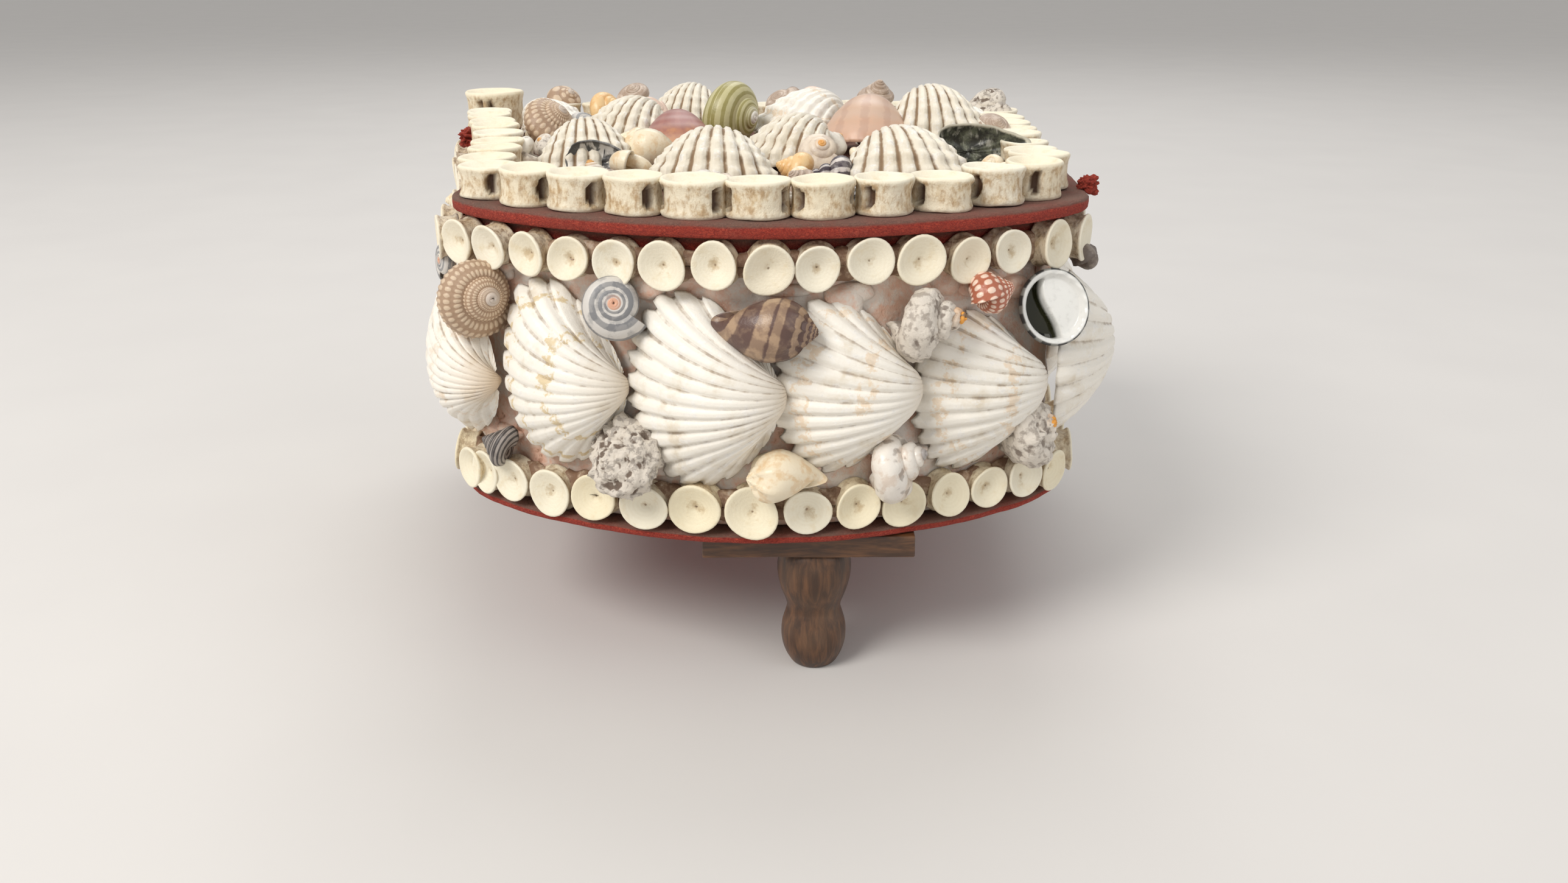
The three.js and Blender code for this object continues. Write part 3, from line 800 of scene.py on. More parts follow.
def wall_row(name, node, front, radii, z, spacing, finish, seed):
    rest = FACES.length - (front[-1] - front[0])
    count = round(rest / spacing) - 1
    behind = [front[-1] + rest * (k + 1) / (count + 1) for k in range(count)]
    loose = np.random.default_rng(seed)
    pieces = []
    for k, distance in enumerate(front + behind):
        radius = radii[k] if k < len(front) else loose.uniform(0.43, 0.475) * spacing
        height = z + loose.normal(0, 0.25)
        length = loose.uniform(*BONE_LENGTHS)
        place = FACES.place(distance, height, widening(distance) - length - loose.uniform(0, 0.5))
        place = tilted(place, loose.normal(-0.02, 0.06), loose.normal(0, 0.06))
        label = f"{name}_{k:02d}"
        pieces.append(bone(first_bone, label, place, radius, length, (), seed + k))
    row = joined(name, pieces)
    return settle(row, "bone", finish, node)


upper = wall_row(
    "upper_row_of_bones", "upper_vertebra_row", UPPER_FRONT, UPPER_RADII,
    UPPER_HEIGHT, UPPER_SPACING, BONE_WHITE, 100,
)
lower = wall_row(
    "lower_row_of_bones", "lower_vertebra_row", LOWER_FRONT, LOWER_RADII,
    LOWER_HEIGHT, LOWER_SPACING, BONE_CREAM, 200,
)
print("wall rows", len(upper.data.polygons), len(lower.data.polygons), "faces")

# %% [markdown]
# The third row stands on the lid, cup upwards, near its edge. The row leaves room for one very
# large bone at the back left corner. The holes of each bone face along the row, so one shows in
# every gap.

# %% Row on the lid
LID_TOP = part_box("lid_board")[1][2] / MM
corner_low, corner_high = box_mm("lid_corner_vertebra")
corner_middle = (corner_low + corner_high)[:2] / 2
LID_INSET, LID_COUNT, LID_PHASE, LID_RADIUS = 9.6, 40, -0.02, 6.3
LID_BONE_HEIGHT = 7.2
CORNER_RADIUS, CORNER_HEIGHT = 8.2, 10.7
HOLE_WIDE, HOLE_HIGH, HOLE_TURN = 0.19, 0.34, 0.45


def lid_row():
    line = PlanLine(LID_INSET)
    loose = np.random.default_rng(300)
    pieces = []
    for k in range(LID_COUNT):
        distance = (k + LID_PHASE) * line.length / LID_COUNT
        spot = line.point(distance)
        radius = LID_RADIUS + loose.uniform(-0.3, 0.25)
        height = LID_BONE_HEIGHT + loose.uniform(-0.6, 0.5)
        turn = loose.uniform(-0.25, 0.25)
        if np.hypot(*(spot - corner_middle)) < 8.4 + LID_RADIUS + 0.3:
            continue
        along = line.along(distance)
        heading = math.atan2(along[1], along[0])
        lift = Matrix.Translation((*(spot * MM), (LID_TOP + 0.1) * MM))
        place = tilted(lift, loose.normal(0, 0.02), loose.normal(0, 0.02))
        facing = heading + turn
        sides = facing - HOLE_TURN, facing + math.pi + HOLE_TURN
        holes = [(side, 0.5, HOLE_WIDE, HOLE_HIGH) for side in sides]
        label = f"lid_row_{k:02d}"
        pieces.append(bone(deep_bone, label, place, radius, height, holes, 300 + k, 0.014, 0.05))
    return settle(joined("lid_row_of_bones", pieces), "bone", BONE_LID, "lid_vertebra_row")


lid_bones = lid_row()
corner_place = Matrix.Translation((*(corner_middle * MM), (LID_TOP + 0.1) * MM))
corner_holes = [(4.35, 0.5, 0.1, 0.3), (4.75, 0.5, 0.1, 0.3), (0.5, 0.5, 0.12, 0.3)]
corner_bone = bone(deep_bone, "large_corner_bone", corner_place, CORNER_RADIUS, CORNER_HEIGHT,
                   corner_holes, 7, 0.02)
settle(corner_bone, "bone", BONE_LID, "lid_corner_vertebra")
for source in (first_bone, deep_bone):
    bpy.data.objects.remove(source)
print("lid row", len(lid_bones.data.polygons), "faces")


# %% [markdown]
# ## Cockle valves
# A shell grows by adding to its edge, so every older edge is a smaller copy of the newest, turned
# about the hinge. That rule is used here: the margin is drawn once, then shrunk and turned towards
# the hinge, which gives the dome, the curled beak and the curved ribs all at once. The ribs scale
# the surface up and down, and they notch the margin.

# %% Cockle valve
def fan_margin(angle, knee):
    return 0.055 + 0.945 / (1 + (np.abs(angle) / knee) ** 6)


def cockle(name, matrix, reach, top, bottom, ribs=21, swell=1.15, seed=0, knees=(1.08, 1.22),
           relief=0.055, beads=0.4, fan=1.9):
    """The beak is at +X, the fan opens towards -X, and the dome rises along Z."""
    sweep = np.linspace(0.01, fan, 400)
    halves = [(fan_margin(sweep, knee) * np.sin(sweep)).max() for knee in knees]
    turn_in = 0.86  # where the sheet turns from the outside to the inside
    loose = np.random.default_rng(seed)
    chips = loose.uniform(0.0, 0.03, ribs + 1)
    widths = loose.uniform(-0.12, 0.12, 4)

    def shape(u, v):
        t = u * 2 - 1
        t = t + 0.05 * widths[0] * np.sin(t * math.pi) + 0.04 * widths[1] * np.sin(t * math.tau)
        angle = t * fan
        upper = angle > 0
        radius = np.where(upper, fan_margin(angle, knees[0]), fan_margin(angle, knees[1]))
        tall = np.where(upper, top / halves[0], bottom / halves[1])
        outside = np.clip(v / turn_in, 0, 1)
        back = np.clip((v - turn_in) / (1 - turn_in), 0, 1)
        grown = 0.05 + 0.95 * outside**0.85
        turned_in = swell * np.log(1 / grown)  # older edges are turned further in
        phase = t * ribs / 2 + 0.5
        ridge = smooth(0.0, 0.5, 0.5 + 0.5 * np.cos(phase * math.tau))
        worn = 1 - chips[np.clip((phase + ribs / 2).astype(int), 0, ribs)] * smooth(0.9, 1, outside)
        # Ribs, then beads on the ribs, then growth steps, all as a change of scale.
        scale = 1 + relief * (ridge - 0.5) * (1 - back) * (0.6 + 0.4 * outside)
        bead = np.cos(grown * 70 + t * 2 + widths[2] * 9) * ridge * smooth(0.3, 0.8, outside)
        scale = scale + beads * 0.009 * bead * (1 - back)
        steps = field(np.stack([grown * 60, t * 0.6, grown * 0], -1), 4.0, seed + 1)
        scale = (scale + 0.008 * steps) * worn
        a = reach * radius * np.cos(angle) * grown * scale
        b = tall * radius * np.sin(angle) * grown * scale
        hinge = np.maximum(a, 0.05 * reach * grown)
        up = hinge * np.sin(turned_in)
        forward = np.where(a > 0, a * np.cos(turned_in), a)
        inward = 1 - back
        x = reach / 2 - np.where(back > 0, forward * inward + reach * 0.4 * back, forward)
        y = b * inward
        z = np.where(back > 0, 0.18 * back * reach * inward + up * inward, up)
        # The whole valve is a little out of true.
        bend = field(np.column_stack([x, y, z]), reach * 0.5, seed + 2) * 0.4
        z = z + bend * smooth(0.1, 0.5, outside) * (1 - back)
        marks = {"groove": (1 - ridge) * (1 - back) + back, "share": grown, "rib": t}
        return moved(np.column_stack([x, y, z]) * MM, matrix), marks

    return skin(name, ribs * 7, 40, shape, FINE_MERGE)


HINGE_LIFT = 0.5 - WALL_INSET
VALVE_HEIGHT, VALVE_REACH, VALVE_TOP, VALVE_BOTTOM = 68.4, 28.6, 18.6, 17.8
FRONT_VALVES = {
    -4: dict(umbo=-124, z=68, off=1.0),
    -3: dict(umbo=-93, z=68, reach=28, top=18.5, bottom=17.5, off=1.6),
    -2: dict(umbo=-62.5, z=65.3, reach=27.5, top=19, bottom=16, off=0.6, yaw=0.14, ribs=24,
             finish=COCKLE_TAN),
    -1: dict(umbo=-31, z=67.2, reach=29, top=21.5, bottom=19.5, yaw=0.03, ribs=23,
             finish=COCKLE_SPOTTED),
    0: dict(umbo=2.3, z=66.9, reach=30.5, top=21, bottom=20.8, ribs=26),
    1: dict(umbo=31.3, z=67.2, reach=28.5, top=19.4, bottom=17.8, ribs=24, finish=COCKLE_DASHED),
    2: dict(umbo=62.6, z=65.2, reach=29.5, top=16.6, bottom=19, ribs=24, finish=COCKLE_DASHED),
    3: dict(umbo=95, z=67.5, reach=30, top=18.5, bottom=18, off=2.4),
    4: dict(umbo=125, z=68, off=1.4),
}
VALVE_COUNT, VALVE_START = 19, 6.0
BACK_FINISHES = [COCKLE, COCKLE_DASHED, COCKLE_TAN, COCKLE]
dice = np.random.default_rng(11)
valves = 0
for k in range(VALVE_COUNT):
    number = k if k < 10 else k - VALVE_COUNT
    even = VALVE_START + number * FACES.length / VALVE_COUNT
    size = dict(umbo=even + dice.uniform(-0.5, 0.5), z=VALVE_HEIGHT + dice.uniform(-0.6, 0.6),
                off=0.4, reach=VALVE_REACH + dice.uniform(-0.8, 0.8),
                top=VALVE_TOP + dice.uniform(-0.8, 0.8),
                bottom=VALVE_BOTTOM + dice.uniform(-0.8, 0.6), yaw=0.0, ribs=20 + k % 3,
                finish=BACK_FINISHES[k % 4])
    size |= FRONT_VALVES.get(number, {})
    half = size["reach"] / 2
    where = FACES.place(size["umbo"] - half, size["z"], HINGE_LIFT + size["off"])
    where = where @ Matrix.Rotation(dice.uniform(-0.03, 0.03), 4, "Z")
    beak = Matrix.Translation((half * MM, 0, 0))
    where = where @ beak @ Matrix.Rotation(size["yaw"], 4, "Y") @ beak.inverted()
    name = f"cockle_on_wall_{k + 1:02d}"
    measures = (size[key] for key in ("reach", "top", "bottom", "ribs"))
    piece = cockle(name, where, *measures, seed=k * 5)
    settle(piece, "cockle_shell", size["finish"], f"wall_cockle_{k + 1:02d}")
    valves += len(piece.data.polygons)
print("wall cockles", valves, "faces")


# %% [markdown]
# ## Snails
# A snail is a tube that winds down round an axis and widens by the same ratio each turn. The sheet
# follows the tube from the tip to the mouth, flares a little at the lip, and turns back inside, so
# that the mouth is a real hollow. A canal draws the lower side of the tube out into a spout, knobs
# and beads scale the tube, and roughness pits it.

# %% Spiral shell
def spiral(name, matrix, radius, turns=4.4, growth=2.0, spread=0.46, tube=0.5, tall=0.45,
           drop=0.9, canal=0.0, beads=(0, 0, 0), knobs=(0, 0), pits=0.0, pit_mm=1.2, lip=0.05,
           fine=26, around=24, seed=1):
    whole = math.tau * turns
    turn_in = 0.9
    size_mm = radius / (spread + tube)
    length = drop + tall * (1 + canal)

    def shape(u, v):
        outside = np.clip(u / turn_in, 0, 1)
        back = np.clip((u - turn_in) / (1 - turn_in), 0, 1)
        theta = whole * outside - 1.1 * back
        size = growth ** ((theta - whole) / math.tau)
        around_tube = math.tau * v
        across, rise = np.cos(around_tube), np.sin(around_tube)
        below = np.clip(-rise, 0, 1)
        swell = 1 + lip * smooth(0.96, 1, outside)
        swell = swell * np.interp(back, [0, 0.12, 0.9, 1], [1, 0.86, 0.6, 0.02])
        bead = (1 + np.cos(theta * beads[1])) * (1 + np.cos(around_tube * beads[2])) / 4
        beading = beads[0] * (bead - 0.3)
        bulge = knobs[0] * np.maximum(np.cos(theta * knobs[1]), 0) ** 2 * np.clip(rise, 0, 1)
        swell = swell * (1 + (beading + bulge) * (1 - smooth(0, 0.2, back)))
        # The canal draws the lower side down and in towards the axis.
        pull = canal * below**1.4
        radial = spread * (1 - 0.55 * np.minimum(pull, 1)) + tube * across * swell
        radial = radial * (1 - 0.45 * np.minimum(pull, 1))
        height = -drop + tall * rise * swell * (1 + canal * (rise < 0))
        points = np.column_stack([
            radial * size * np.cos(theta), radial * size * np.sin(theta), height * size + length / 2
        ])
        points = points * size_mm
        hollows = 0
        # Pits move each point towards the middle line of its tube.
        if pits:
            dent = field(points, pit_mm, seed) + 0.6 * field(points, pit_mm * 0.45, seed + 1)
            middle = np.column_stack([
                spread * size * np.cos(theta), spread * size * np.sin(theta),
                -drop * size + length / 2,
            ]) * size_mm
            points = middle + (points - middle) * (1 + pits * dent * (back < 0.2))[:, None]
            hollows = np.clip(-dent - 0.1, 0, 1) * 1.6
        # The seam mark carries the darkening: dirt and painted shade on the inner side of the tube,
        # and painted shade inside the mouth and in the pits.
        seam = smooth(0.35, 1.0, -across) + smooth(0.6, 1, rise) * 0.25 + back + hollows
        marks = {"turn": theta / math.tau, "band": 1 - np.abs(2 * v - 1), "tip": 1 - outside,
                 "groove": np.clip(seam, 0, 1.5), "bead": bead}
        return moved(points * MM, matrix), marks

    return skin(name, int(fine * turns / turn_in), around, shape, FINE_MERGE)


def aimed(place, aim, roll=0.0):
    """Turns a place so that Z points along an aim given in its own directions."""
    turn = Vector((0, 0, 1)).rotation_difference(Vector(aim)).to_matrix().to_4x4()
    return place @ turn @ Matrix.Rotation(roll, 4, "Z")


print("spiral helper ready")

# %% [markdown]
# Colours run from chalky white over tan and brown to nearly black. A few kinds stand out: beads
# on two of them, an orange tip on the turbans, olive stripes on the largest one on the lid.

# %% Finishes of the snails
BEADED_TAN = snail_finish("beaded_tan", (0.62, 0.48, 0.34), (0.36, 0.235, 0.15), dots=0.8,
                          patches=0.15, dirt_and_shade=0.6, apex=(0.55, 0.47, 0.4))
BLUE_GREY = snail_finish("blue_grey_snail", (0.6, 0.57, 0.53), (0.2, 0.2, 0.205), bands=0.7,
                         band_turns=3, patches=0.5, dirt_and_shade=0.6, apex=(0.66, 0.36, 0.24))
BANDED_BROWN = snail_finish("banded_brown_whelk", (0.11, 0.06, 0.048), (0.44, 0.3, 0.19),
                            bands=0.5, band_turns=4, patches=0.3, dirt_and_shade=0.5, rough=0.35)
CHALKY = snail_finish("chalky_grey_turban", (0.68, 0.62, 0.54), (0.38, 0.33, 0.28), patches=0.8,
                      dirt_and_shade=0.8, patch_mm=1.8, apex=(0.8, 0.36, 0.06), bump_mm=0.35, rough=0.6,
                      dirt_and_shade_colour=(0.2, 0.16, 0.13))
CHALKY_PLAIN = snail_finish("chalky_grey_plain", (0.66, 0.6, 0.52), (0.34, 0.3, 0.26),
                            patches=0.8, dirt_and_shade=0.9, patch_mm=1.4, bump_mm=0.4, rough=0.75)
PINK_BEADED = snail_finish("pink_beaded", (0.8, 0.6, 0.48), (0.42, 0.13, 0.07), dots=0.9,
                           patches=0.1, dirt_and_shade=0.35, rough=0.3)
DARK_SNAIL = snail_finish("dark_snail", (0.16, 0.125, 0.105), (0.3, 0.25, 0.21), patches=0.7,
                          dirt_and_shade=0.4, bump_mm=0.25)
RIBBED_GREY = snail_finish("ribbed_grey", (0.34, 0.3, 0.27), (0.05, 0.042, 0.04), bands=0.8,
                           band_turns=6, dirt_and_shade=0.7)
CREAM_CONCH = snail_finish("cream_conch", (0.82, 0.72, 0.54), (0.66, 0.42, 0.19), patches=0.45,
                           stripes=0.12, stripe_turns=8, dirt_and_shade=0.2, rough=0.28)
TRANSLUCENT = snail_finish("pale_turban", (0.78, 0.73, 0.66), (0.62, 0.5, 0.4), patches=0.6,
                           dirt_and_shade=0.5, apex=(0.36, 0.33, 0.31), rough=0.28)
OLIVE = snail_finish("olive_top_shell", (0.52, 0.48, 0.26), (0.3, 0.265, 0.09), bands=0.8,
                     band_turns=6, patches=0.2, dirt_and_shade=0.35, apex=(0.74, 0.71, 0.64), rough=0.35)
STRIPED_DARK = snail_finish("striped_dark", (0.05, 0.035, 0.045), (0.66, 0.6, 0.55), stripes=0.6,
                            stripe_turns=9, dirt_and_shade=0.35, rough=0.35)
ORANGE_SNAIL = snail_finish("orange_snail", (0.78, 0.54, 0.27), (0.68, 0.36, 0.12), patches=0.6,
                            dirt_and_shade=0.25, rough=0.3)
WHITE_SNAIL = snail_finish("white_snail", (0.76, 0.71, 0.62), (0.5, 0.4, 0.32), patches=0.6,
                           dirt_and_shade=0.55, apex=(0.66, 0.36, 0.12), rough=0.45)
ORANGE_TIPPED = snail_finish("orange_tipped_snail", (0.72, 0.62, 0.5), (0.45, 0.36, 0.3),
                             patches=0.5, dirt_and_shade=0.5, apex=(0.72, 0.36, 0.1), rough=0.4)
BROWN_GREY = snail_finish("brown_grey_snail", (0.38, 0.28, 0.21), (0.62, 0.52, 0.43), patches=0.5,
                          bands=0.3, band_turns=5, dirt_and_shade=0.55)
print("snail finishes ready")


# %% [markdown]
# Six forms cover them all: how fast the tube grows, how far it winds from the axis and how far it
# drops. The snails on the front of the wall are all different. Each entry gives the place, the way
# its tip points (along the wall, up, out), how far it is rolled about that, its size, its form and
# its finish.

# %% Snails on the front
TURBAN = dict(turns=4.4, growth=1.8, spread=0.5, tube=0.5, tall=0.48, drop=0.85)
FLAT = dict(turns=4.6, growth=1.72, spread=0.56, tube=0.44, tall=0.42, drop=0.5)
TOP = dict(turns=5.4, growth=1.55, spread=0.56, tube=0.42, tall=0.34, drop=1.15)
TALL = dict(turns=6.0, growth=1.5, spread=0.42, tube=0.5, tall=0.55, drop=2.2)
WHELK = dict(turns=4.2, growth=1.65, spread=0.3, tube=0.6, tall=0.8, drop=1.3, canal=0.6)
CONCH = dict(turns=4.6, growth=1.8, spread=0.34, tube=0.6, tall=0.7, drop=1.1, canal=0.8)
STUBBY = dict(TALL, drop=1.3, turns=5)
BEADED = dict(TURBAN, drop=1.1, beads=(0.09, 36, 11), fine=125, around=54)
CHALKY_FORM = dict(TURBAN, fine=56, around=44)
DARK_FINISHES = DARK_SNAIL, RIBBED_GREY, STRIPED_DARK

WALL_SNAILS = [
    # name, node, distance, height, lift, aim, roll, radius, form, finish
    ("upper_beaded", "upper_beaded_top_shell", -63, 84.0, 1.0, (1.0, 0.06, 0.25), 3.4, 10.8,
     BEADED, BEADED_TAN),
    ("upper_moon", "upper_moon_snail", -29.8, 85.2, -0.6, (0.38, 0.33, 0.86), 1.99, 7.8,
     dict(FLAT, growth=1.62, lip=0.0, fine=56, around=32), BLUE_GREY),
    ("upper_whelk", "upper_banded_whelk", 1.4, 82.8, 0.6, (1, -0.14, 0.12), 3.4, 7.4,
     dict(WHELK, knobs=(0.14, 10), fine=56, around=44), BANDED_BROWN),
    ("upper_turban", "upper_orange_turban", 33.6, 82.4, 1.0, (0.86, 0.1, 0.5), 3.4, 9.4,
     dict(CHALKY_FORM, drop=1.35, pits=0.13, pit_mm=1.7, knobs=(0.14, 8)), CHALKY),
    ("upper_pink", "upper_small_beaded_shell", 49, 85.8, 0.2, (0.95, 0.25, 0.15), 3.2, 5.6,
     dict(STUBBY, beads=(0.1, 18, 8), fine=96, around=48), PINK_BEADED),
    ("upper_dark", "upper_dark_snail", 84, 88.0, 0.6, (0.3, 0.5, 0.8), 0.6, 5.6,
     dict(TURBAN, pits=0.06), DARK_SNAIL),
    ("lower_ribbed", "lower_ribbed_snail", -62.6, 49.8, -0.8, (-0.95, 0.2, 0.2), -1.0, 5.4,
     dict(TOP, drop=1.4, beads=(0.04, 0, 8), fine=50, around=56), RIBBED_GREY),
    ("lower_pitted", "lower_pitted_turban", -28.8, 51.8, 0.4, (-0.3, 0.35, 0.88), 0.3, 11.0,
     dict(TURBAN, pits=0.24, pit_mm=1.5, knobs=(0.2, 9), fine=64, around=52), CHALKY_PLAIN),
    ("lower_conch", "lower_cream_conch", 5.2, 49.8, 0.4, (-1, 0.12, 0.12), -1.2, 6.8,
     dict(CONCH, knobs=(0.25, 7), fine=50, around=40), CREAM_CONCH),
    ("lower_white", "lower_white_turban", 28.4, 52.0, 0.2, (0.8, 0.4, 0.45), 3.0, 8.8,
     dict(TURBAN, drop=1.2, pits=0.07, pit_mm=1.6, fine=50, around=36), TRANSLUCENT),
    ("lower_knobbly", "lower_knobbly_turban", 60.6, 54.4, 0.6, (0.45, 0.4, 0.78), 2.6, 9.0,
     dict(CHALKY_FORM, canal=0.5, pits=0.15, pit_mm=1.4, knobs=(0.28, 7)), CHALKY),
    ("far_left", None, -81, 87.8, -1.2, (0.3, 0.1, 0.9), 1.0, 5.6, FLAT, BLUE_GREY),
]


def snail(name, where, radius, form, finish, seed, node=None):
    slot = "dark_shell" if finish in DARK_FINISHES else "snail_shell"
    slot = "olive_shell" if finish == OLIVE else slot
    piece = spiral(name, where, radius, **form, seed=seed)
    return settle(piece, slot, finish, *([node] if node else []))


for label, node, distance, height, lift, aim, roll, radius, form, finish in WALL_SNAILS:
    where = aimed(FACES.place(distance, height, lift), aim, roll)
    snail("snail_" + label, where, radius, form, finish, int(distance) + 90, node)
print("snails on the front", len(WALL_SNAILS))

# %% [markdown]
# One shell on the front is a nerite, glued with its mouth outwards. A thick white shelf closes
# half of the mouth, and the other half is a dark hollow. A disc-shaped sheet makes it: from the
# back of the dome over the notched rim, and down into the mouth.

# %% Nerite
def nerite_finish():
    f = Finish("nerite")
    near = f.noise(1.5, 4, 0.6)
    hollow, outer = f.mark("hollow"), f.mark("outer")
    stripe = f.step(f.wave(f.mark("spoke"), 13) + near - 0.5, 0.0, 0.4)
    face = f.blend((0.75, 0.75, 0.72), (0.5, 0.5, 0.47), f.step(near, 0.5, 0.8) * 0.5)
    # Painted shade: the open half of the mouth is painted nearly black.
    depth = f.blend(face, (0.035, 0.035, 0.015), f.step(hollow, 0.35, 0.75))
    shell = f.blend((0.035, 0.035, 0.035), (0.5, 0.5, 0.46), stripe * 0.45)
    colour = f.blend(depth, shell, f.step(outer, 0.3, 0.7))
    return f.finish(colour, 0.12 + outer * 0.4, near, 0.06, 0.5)


NERITE = nerite_finish()


def nerite(name, matrix, wide, tall, depth):
    back = [(0.02, -1, 1), (0.4, -0.86, 1), (0.75, -0.55, 1), (0.95, -0.2, 1), (1.0, 0, 1)]
    edge = [(0.985, 0.12, 0.9), (0.93, 0.17, 0.4), (0.86, 0.14, 0), (0.8, 0.06, 0)]
    middle = [(0.74, 0, 0), (0.6, 0, 0), (0.4, 0.02, 0), (0.2, 0.03, 0), (0.01, 0.03, 0)]
    radii, rises, outside = np.array(back + edge + middle).T
    stops = np.linspace(0, 1, len(radii))

    def shape(u, v):
        angle = u * math.tau
        reach = np.interp(v, stops, radii)
        rise = np.interp(v, stops, rises)
        across, up = reach * np.cos(angle), reach * np.sin(angle)
        face = smooth(0.5, 0.58, v)
        shelf = -0.16 + 0.2 * up**2 - 0.12 * np.sin(up * 3)
        mouth = smooth(0.82, 0.74, np.hypot(across, up)) * smooth(0.03, -0.08, across - shelf)
        mouth = mouth * face
        teeth = 0.05 * np.cos(angle * 17) * smooth(0.98, 0.9, reach) * (reach > 0.85)
        points = np.column_stack([
            across * wide, up * tall, (rise - mouth * 0.62 + teeth * 0.4) * depth
        ])
        marks = {"hollow": mouth, "outer": np.interp(v, stops, outside), "spoke": u}
        return moved(points * MM, matrix), marks

    return skin(name, 96, 52, shape, FINE_MERGE)


where = aimed(FACES.place(64.2, 81.2, 2.4), (-0.55, 0.3, 0.8))
piece = nerite("nerite_mouth_out", where @ Matrix.Rotation(0.1, 4, "Z"), 7.4, 8.2, 8.0)
settle(piece, "dark_shell", NERITE, "upper_nerite")

# %% [markdown]
# Round the sides and the back the makers' pattern goes on, one small snail above and one below
# each beak, so the hidden sides get the same kinds, made with fewer faces.

# %% Snails round the sides and back
FORMS = [TURBAN, FLAT, TOP, dict(TURBAN, canal=0.4), STUBBY]
SNAIL_LEVELS = 85.4, 53.2
PALETTE = [CHALKY_PLAIN, BLUE_GREY, BROWN_GREY, CREAM_CONCH, WHITE_SNAIL, DARK_SNAIL]
PALETTE += [ORANGE_TIPPED]
loose = np.random.default_rng(500)
hidden = 0
for k in range(4, 16):
    umbo = VALVE_START + k * FACES.length / VALVE_COUNT
    for level in SNAIL_LEVELS:
        distance = umbo + loose.uniform(-2.5, 2.5)
        radius = loose.uniform(5.6, 7.4)
        aim = (loose.uniform(-0.7, 0.7), loose.uniform(-0.2, 0.6), 0.7)
        where = aimed(FACES.place(distance, level, radius * 0.5 - 3.6), aim, loose.uniform(0, 6))
        form = FORMS[int(loose.integers(len(FORMS)))]
        shrink = 0.72 if form["drop"] > 1.2 else 1.0
        finish = PALETTE[int(loose.integers(len(PALETTE)))]
        piece = spiral(f"snail_round_{hidden:02d}", where, radius * shrink, **form,
                       pits=loose.choice([0, 0.06, 0.14]), fine=20, around=20, seed=hidden)
        settle(piece, "snail_shell", finish)
        hidden += 1
print("snails round the sides and back", hidden)


# %% [markdown]
# ## The heap on the lid
# On the lid the shells lie crown up, close together. Places are given on the plan, from the middle
# of the widest line, and are moved with it.

# %% Cockles on the lid
def on_lid(x, y, lift=0.0, heading=0.0):
    spot = (np.array([x, y]) + SHIFT) * MM
    matrix = Matrix.Translation((*spot, (LID_TOP + 0.15 + lift) * MM))
    return matrix @ Matrix.Rotation(math.radians(heading), 4, "Z")


LID_VALVES = [
    # name, node, x, y, lift, heading, pitch, reach, half width, swell, finish
    ("front_left", "lid_cockle_front_left", -11.5, 11, 0, 88, 0, 27, 15.6, 1.5, COCKLE_GRIMY),
    ("front_right", "lid_cockle_front_right", 32, 10, 0, 100, 0, 27.5, 16.4, 1.5, COCKLE_GRIMY),
    ("centre", "lid_cockle_centre", 6, 36, 1.5, 60, 0, 24, 12.5, 1.5, COCKLE_GRIMY),
    ("back", "lid_cockle_back", 8.5, 80, 3, 40, 0, 25, 13, 1.5, COCKLE_DASHED),
    ("left", "lid_cockle_left", -36, 62, 3, 70, 0, 24, 12.6, 1.5, COCKLE_GRIMY),
    ("right", "lid_cockle_right", 44.5, 64, 2, 95, 0.18, 30, 15.5, 1.5, COCKLE_GRIMY),
    ("left_edge", None, -42, 30, 1, 100, 0, 24, 12.5, 1.5, COCKLE_GRIMY),
    ("back_left", None, -23, 97, 3, 80, 0.1, 23, 12, 1.5, COCKLE_GRIMY),
    ("back_right", None, 56, 88, 0, 120, 0, 21, 11, 1.4, COCKLE_TAN),
    ("far_middle", None, 28, 98, 1, 75, 0, 21, 11, 1.4, COCKLE_DASHED),
    ("left_back", None, -60, 94, 1, 140, 0, 21, 11, 1.4, COCKLE_TAN),
]
for label, node, x, y, lift, heading, pitch, reach, half, swell, finish in LID_VALVES:
    where = on_lid(x, y, lift, heading) @ Matrix.Rotation(-pitch, 4, "Y")
    piece = cockle("cockle_on_lid_" + label, where, reach, half, half, 20, swell,
                   seed=int(x * 3 + y) + 400, knees=(1.2, 1.2), relief=0.07, beads=3.2)
    settle(piece, "cockle_shell", finish, *([node] if node else []))
print("lid cockles", len(LID_VALVES))

# %% [markdown]
# Two smooth bivalves lie among them, mauve with an orange rim and tan-pink with darker rays. A
# smooth valve is the same growth rule without ribs, so the same helper makes it.

# %% Smooth valves
def smooth_valve_finish(name, middle, rim, ray, ray_share):
    f = Finish(name)
    share, rib = f.mark("share"), f.mark("rib")
    near = f.noise(2.5, 4, 0.6)
    rings = f.wave(share + near * 0.03, 9) * 0.5 + 0.5
    colour = f.blend(middle, rim, f.step(share + (near - 0.5) * 0.3, 0.75, 0.98))
    rays = f.step(f.wave(rib + near * 0.12, 4.5), 0.2, 0.8) * ray_share
    colour = f.blend(colour, ray, rays)
    colour = f.blend(colour, (0.62, 0.55, 0.5), rings * 0.15)
    return f.finish(colour, 0.28 + near * 0.2, rings * 0.5 + near * 0.4, 0.08, 0.5)


